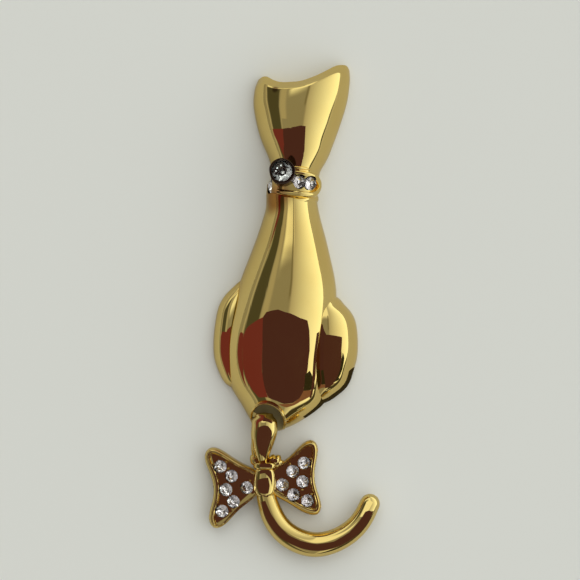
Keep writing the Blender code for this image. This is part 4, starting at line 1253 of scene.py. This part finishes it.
def makeTail():
    dropForm, hookForm = makeDrop(), makeHook()
    knotForms = makeKnot()
    pleatForms = [makePleat(i) for i in range(len(pleats["side"]))]
    wings = [makeWing(*side) for side in wingSides]
    headTopLevel = recess["plateTop"] - recess["plateThickness"] - recess["runGap"]
    headLow = headTopLevel - recess["rivetHeadThickness"]
    post = rod("post", recess["rivet"], headLow + recess["overlap"], recess["postTop"], (0, 0))
    peened = roundedRod(recess["rivetHead"], headLow, headTopLevel, recess["rivetEdge"])
    peened = spun("peened", peened, 48)
    forms = [*knotForms, *pleatForms, hookForm, post, peened]
    cast = combine(copyOf(dropForm), forms + [body for body, _, _ in wings], "UNION")
    sources = [(form, 0) for form in (dropForm, *forms)]
    for _, shapes, seats in wings:
        # the wing seats take the near-black finish, which is painted shade round each stone
        sources += [(shape, 0) for shape in shapes] + [(seat, 1) for seat in seats]
    cast = finishCast(cast, sources, (tailGold, seatShade), Vector((rivet.x, rivet.y, 0)))
    for body, _, _ in wings:
        bpy.data.objects.remove(body)
    cast.name = "cast_tail"
    return cast


tailCast = makeTail()
print("tail cast", len(tailCast.data.polygons))
toRivet = Matrix.Translation((rivet.x, rivet.y, 0))
bowFrames = [toRivet @ f for side, _, _, stones in wingSides for f in wingStoneFrames(side, stones)]
bowCrystals = setStones("bow_crystals", bowFrames, small["stone"], clearCrystal,
                        [wing["stoneTurn"] * k for k in range(len(bowFrames))])
print("bow stones set")

# Pin: a plain wire between two posts across the hollow back
pin = {"posts": (0.165, 0.805), "wire": 0.0005, "level": 0.0011, "post": 0.0013, "lift": 0.0004,
       "seatGap": 0.0002, "postGap": 0.0007, "postEdge": 0.0002, "past": 0.0011, "rings": 60}


def makePin():
    spots, tops = [], []
    for along in pin["posts"]:
        left, right, crown = (smoothThrough(bodySections["along"], bodySections[name], np.array([along]))[0]
                              for name in ("left", "right", "crown"))
        spots.append(Vector(((left + right) / 2 * cat["bodyWidth"], -along * cat["bodyLength"], 0)))
        tops.append(crown * cat["bodyHeight"] - cat["wall"] - pin["seatGap"])
    upper, lower = spots
    ahead = (lower - upper).normalized()
    points = [upper - ahead * pin["past"] + ahead * s + Vector((0, 0, pin["level"]))
              for s in np.linspace(0, (lower - upper).length + 2 * pin["past"], pin["rings"])]
    radii = []
    for k in range(pin["rings"]):
        fromEnd = min(k, pin["rings"] - 1 - k)
        radii.append(pin["wire"] * (math.sqrt(max(0.02, 1 - (1 - fromEnd / 2) ** 2)) if fromEnd < 2 else 1.0))
    wire = tubeAlong("pin_wire", points, radii, sides=24, finish=pinMetal)
    posts = []
    for name, spot, top in zip(("upperPost", "lowerPost"), spots, tops):
        post = spun(name, roundedRod(pin["post"], pin["lift"], top - pin["postGap"], pin["postEdge"]), 48)
        posts.append(place(post, Matrix.Translation(spot)))
    made = combine(copyOf(wire), posts, "UNION")
    made = finishCast(made, [(form, 0) for form in (wire, *posts)], (pinMetal,), collarCentre)
    made.name = "pin_stem"
    return made


pinStem = makePin()
bpy.data.objects.remove(stonePattern)
bpy.data.objects.remove(beadPattern)
print("pin made")

# What each piece rides on and stands for
for piece, body, nodes, slot in (
    (catCast, "brooch", ["cat_body"], "gold_plate"),
    (solderCup, "brooch", ["stone_cup"], "dark_metal"),
    (cupStone, "brooch", ["cup_stone"], "crystal"),
    (collarCrystals, "brooch", [f"collar_stone_{i + 1}" for i in range(3)], "crystal"),
    (pinStem, "brooch", ["pin_back"], "pin_wire"),
    (tailCast, "tail", ["tail"], "gold_plate"),
    (bowCrystals, "tail", [f"bow_stone_{side}_{i + 1}" for side in ("left", "right") for i in range(6)],
     "crystal"),
):
    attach(piece, body)
    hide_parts(*nodes)

# Studio: pale floor, a pale dome with broad soft panels, and the camera straight above
studio = {
    "floor": (0.80, 0.795, 0.775),
    # the floor as the polish sees it is darker: painted shade, for the shade round the brooch
    "floorShadeInPolish": (0.56, 0.545, 0.52),
    "floorSize": 3.0,
    "floorCells": 8,
    "floorRoughness": 0.9,
    "floorSheen": 0.1,
    "dome": (0.265, 0.265, 0.25),
    "backdrop": (0.60, 0.60, 0.565),  # what the camera itself sees beyond the floor
    "sparkle": 2.5,  # and how much brighter it is through the crystals
    "fill": 1.75,  # how much brighter the dome is for the floor than in reflections
    "cameraHeight": 0.5,
    "picture": 0.087,
    "aim": (-0.00033, 0.00315),
    "aimLevel": 0.003,  # the height at which the picture's width is measured
    "sensor": 36.0,
    "clipStart": 0.01,
    "allRound": (-200, 200),  # degrees, so that a panel without limits towards the head has none
}
# panels of the dome: degrees sideways from straight up, degrees towards the head, colour, and where the
# colour changes across the panel, the one at its far side
domePanels = (
    {"side": (-74, -45), "colour": (0.07, 0.07, 0.05), "soft": 2.0},
    {"side": (-80, -76), "colour": (0.40, 0.39, 0.36), "soft": 1.0},
    {"side": (-43, -30), "colour": (0.38, 0.37, 0.33), "soft": 3.0},
    {"side": (11, 100), "colour": (0.42, 0.415, 0.39), "far": (1.42, 1.52, 1.48), "soft": 3.0},
    {"side": (-24, 12), "head": (19, 80), "colour": (0.95, 0.98, 0.92), "soft": 5.0},
    {"side": (-72, -20), "head": (54, 84), "colour": (0.85, 0.88, 0.80), "soft": 4.0},
    {"side": (6.5, 10.5), "head": (5, 24), "colour": (0.19, 0.18, 0.14), "soft": 1.5},
    {"side": (40, 90), "head": (-170, -66), "colour": (0.05, 0.045, 0.03), "soft": 4.0},
)
# small dark, red and pale glowing cards a little above the brooch, seen only in its polish, that put painted
# reflections on it: name, height, colour and corners, in millimetres
reflectionColours = {
    "brown": (0.066, 0.027, 0.036),
    "red": (0.15, 0.033, 0.042),
    "low": (0.07, 0.03, 0.036),
    "corner": (0.028, 0.026, 0.016),
    "pink": (0.2, 0.1, 0.085),
    "bright": (0.95, 0.98, 0.92),
    "pale": (0.265, 0.265, 0.25),
    "edge": (0.03, 0.026, 0.018),
}
reflectionCards = (
    ("bodyCard", 7.62, "brown", (
        (-5.1, -0.7), (-4.4, 0.0), (-3.2, 0.2), (-2.2, 0.3), (-1.1, -0.1), (-0.2, -0.3), (1.8, -1.1),
        (3.9, -1.6), (5.1, -3.3), (6.5, -6.7), (5.9, -9.3), (4.7, -11.4), (4.6, -13.4), (3.3, -14.9),
        (1.3, -16.2), (-1.0, -16.0), (-2.8, -15.3), (-5.0, -15.1), (-5.2, -12.2), (-5.2, -9.3),
        (-4.9, -5.2))),
    ("bodyRedCard", 7.25, "red", (
        (-4.8, -0.8), (-7.3, -1.4), (-11.8, -2.0), (-14.3, -3.4), (-13.8, -6.3), (-13.6, -9.6),
        (-13.6, -13.1), (-11.9, -16.5), (-9.6, -17.5), (-6.0, -15.2), (-4.8, -14.7), (-4.9, -11.9),
        (-5.0, -9.2), (-4.7, -5.2))),
    ("bodyCornerCard", 6.19, "corner", (
        (2.6, -9.6), (4.4, -9.2), (6.7, -10.3), (13.8, -13.4), (18.2, -16.0), (6.6, -13.1),
        (2.7, -12.4), (2.7, -11.6))),
    ("bodyPinkCard", 6.08, "pink", (
        (2.5, -12.3), (6.3, -13.0), (12.5, -15.8), (4.4, -14.6), (2.3, -14.7), (1.0, -15.3),
        (-0.6, -15.5), (-2.2, -14.5), (-1.2, -14.4), (0.4, -14.5), (1.7, -13.6))),
    ("haunchCard", 5.5, "low", (
        (4.8, -3.5), (5.5, -3.5), (6.5, -3.6), (7.8, -3.7), (9.6, -3.8), (9.1, -6.0), (9.7, -7.6),
        (10.4, -10.0), (8.5, -12.0), (7.5, -15.4), (5.3, -14.6), (4.6, -9.2), (4.6, -6.0))),
    ("haunchCornerCard", 4.82, "corner", (
        (8.7, -6.3), (10.7, -7.6), (12.2, -10.1), (9.0, -11.2), (7.4, -11.1), (8.7, -9.4), (8.4, -7.3))),
    ("leftHaunchCard", 6.0, "red", (
        (-26.9, -2.1), (-19.3, -1.7), (-12.0, -2.6), (-9.6, -3.1), (-9.8, -6.1), (-9.9, -9.2),
        (-19.3, -20.0), (-20.8, -12.8), (-30.9, -7.9))),
    ("dropCard", 5.85, "low", (
        (-6.6, -18.7), (-6.0, -17.3), (-4.3, -17.0), (-3.3, -17.1), (-1.6, -18.1), (1.7, -21.9),
        (2.0, -25.7), (1.8, -27.2), (-4.1, -23.8), (-6.5, -23.9), (-7.5, -21.7))),
    ("knotCard", 4.84, "low", (
        (-7.3, -25.5), (-4.7, -25.0), (-3.3, -24.9), (-2.8, -26.2), (-3.1, -27.9), (-4.9, -28.0),
        (-6.6, -27.6))),
    ("hookCard", 4.35, "low", (
        (-8.2, -29.7), (-4.2, -28.5), (-3.2, -30.4), (-2.0, -32.0), (-0.5, -33.5), (1.3, -34.3),
        (3.7, -34.8), (6.3, -34.5), (8.5, -33.1), (9.8, -31.4), (10.8, -30.0), (11.7, -30.0),
        (16.7, -32.0), (18.1, -36.4), (11.7, -36.2), (8.3, -37.3), (4.4, -37.2), (1.3, -36.6),
        (-1.7, -35.8), (-5.9, -35.5), (-10.6, -33.9))),
    ("leftWingCard", 4.14, "low", (
        (-12.7, -21.7), (-11.7, -21.2), (-8.7, -22.9), (-6.0, -24.8), (-5.7, -26.6), (-7.8, -28.4),
        (-9.9, -30.8), (-11.7, -32.0), (-12.6, -31.4), (-11.8, -28.4), (-11.7, -25.4))),
    ("rightWingCard", 3.81, "low", (
        (-2.4, -25.1), (-0.3, -23.3), (2.4, -20.2), (3.8, -20.0), (4.1, -22.4), (3.8, -25.4),
        (4.5, -28.4), (4.4, -30.1), (1.2, -28.9), (-2.2, -26.9))),
    # the bright card paints a highlight on the hook's tip
    ("tipCard", 6.2, "bright", (
        (8.4, -29.7), (10.4, -30.7), (12.4, -30.1), (14.2, -27.6), (12.0, -25.8), (8.2, -26.6))),
    ("headRedCard", 10.1, "red", (
        (-30.0, 23.2), (-10.6, 26.1), (-5.5, 26.7), (-6.9, 22.8), (-11.8, 20.2), (-16.0, 19.2),
        (-30.0, 20.0))),
    ("headCard", 10.0, "brown", (
        (-5.5, 26.7), (-2.1, 27.1), (1.5, 27.4), (3.4, 27.2), (3.8, 23.4), (3.4, 20.5), (-6.0, 19.6),
        (-11.8, 20.2), (-6.9, 22.8))),
    ("headPaleCard", 9.9, "pale", (
        (-5.6, 26.7), (-3.0, 27.0), (-1.6, 27.0), (-1.6, 28.6), (-5.6, 28.6))),
    # a dark card just above the floor paints a dark reflection along the body's lower edge, standing for
    # shade
    ("lowEdgeCard", 0.2, "edge", (
        (1.0, -14.0), (6.0, -11.0), (9.5, -8.5), (12.7, -10.4), (10.6, -13.8), (6.6, -16.4),
        (2.6, -17.6))),
)


def dressWorld():
    world = bpy.data.worlds.new("softStudio")
    bpy.context.scene.world = world
    world.use_nodes = True
    tree = world.node_tree
    tree.nodes.clear()
    where = addNode(tree, "ShaderNodeTexCoord").outputs["Generated"]
    split = addNode(tree, "ShaderNodeSeparateXYZ", where).outputs
    tilts = [mathOf(tree, "DEGREES", mathOf(tree, "ARCTAN2", split[axis], split["Z"])) for axis in ("X", "Y")]
    colour = studio["dome"]
    for panel in domePanels:
        mask, soft = 1.0, panel["soft"]
        for tilt, span in zip(tilts, (panel["side"], panel.get("head", studio["allRound"]))):
            for edge, half in zip(span, (soft, -soft)):
                ramp = rangeOf(tree, tilt, edge - half, edge + half, kind="SMOOTHSTEP")
                mask = mathOf(tree, "MULTIPLY", mask, ramp)
        shown = panel["colour"]
        if "far" in panel:
            shown = blendOf(tree, rangeOf(tree, tilts[0], *panel["side"]), shown, panel["far"])
        colour = blendOf(tree, mask, colour, shown)
    kind = addNode(tree, "ShaderNodeLightPath").outputs
    fill = mathOf(tree, "MULTIPLY_ADD", kind["Is Diffuse Ray"], studio["fill"] - 1, 1.0)
    power = mathOf(tree, "MULTIPLY_ADD", kind["Is Transmission Ray"], studio["sparkle"] - 1, fill)
    seen = blendOf(tree, kind["Is Camera Ray"], colour, studio["backdrop"])
    shade = addNode(tree, "ShaderNodeBackground", Color=seen, Strength=power)
    addNode(tree, "ShaderNodeOutputWorld", Surface=shade.outputs[0])


def layFloor():
    bm = bmesh.new()
    cells = studio["floorCells"]
    bmesh.ops.create_grid(bm, x_segments=cells, y_segments=cells, size=studio["floorSize"] / 2)
    floor = fromBmesh("floor", bm)
    made, tree, surface = newMaterial("paleFloor")
    # in reflections the floor takes its darker colour, which is painted shade in the polish
    glossy = addNode(tree, "ShaderNodeLightPath").outputs["Is Glossy Ray"]
    setSurface(tree, surface, {"Base Color": blendOf(tree, glossy, studio["floor"], studio["floorShadeInPolish"]),
                               "Roughness": studio["floorRoughness"],
                               "Specular IOR Level": studio["floorSheen"]})
    floor.data.materials.append(made)


def hangReflectionCards():
    for name, high, colour, corners in reflectionCards:
        mesh = bpy.data.meshes.new(name)
        spots = [(0.001 * x, 0.001 * y, 0.001 * high) for x, y in corners]
        mesh.from_pydata(spots, [], [range(len(spots))])
        card = addObject(name, mesh)
        paint = bpy.data.materials.new(name)
        paint.use_nodes = True
        paint.node_tree.nodes.clear()
        # each card glows in its colour but lights nothing: a painted reflection
        glow = addNode(paint.node_tree, "ShaderNodeEmission", Color=reflectionColours[colour])
        addNode(paint.node_tree, "ShaderNodeOutputMaterial", Surface=glow.outputs[0])
        mesh.materials.append(paint)
        for ray in ("camera", "diffuse", "shadow", "transmission"):
            setattr(card, "visible_" + ray, False)


def setCamera():
    camera = addObject("camera", bpy.data.cameras.new("camera"))
    far = studio["cameraHeight"] - studio["aimLevel"]
    camera.data.lens = studio["sensor"] * far / studio["picture"]
    camera.data.sensor_width = studio["sensor"]
    camera.data.clip_start = studio["clipStart"]
    camera.location = (*studio["aim"], studio["cameraHeight"])
    bpy.context.scene.camera = camera


dressWorld()
layFloor()
hangReflectionCards()
setCamera()
bpy.context.scene.view_settings.view_transform = "Standard"
print("studio set")
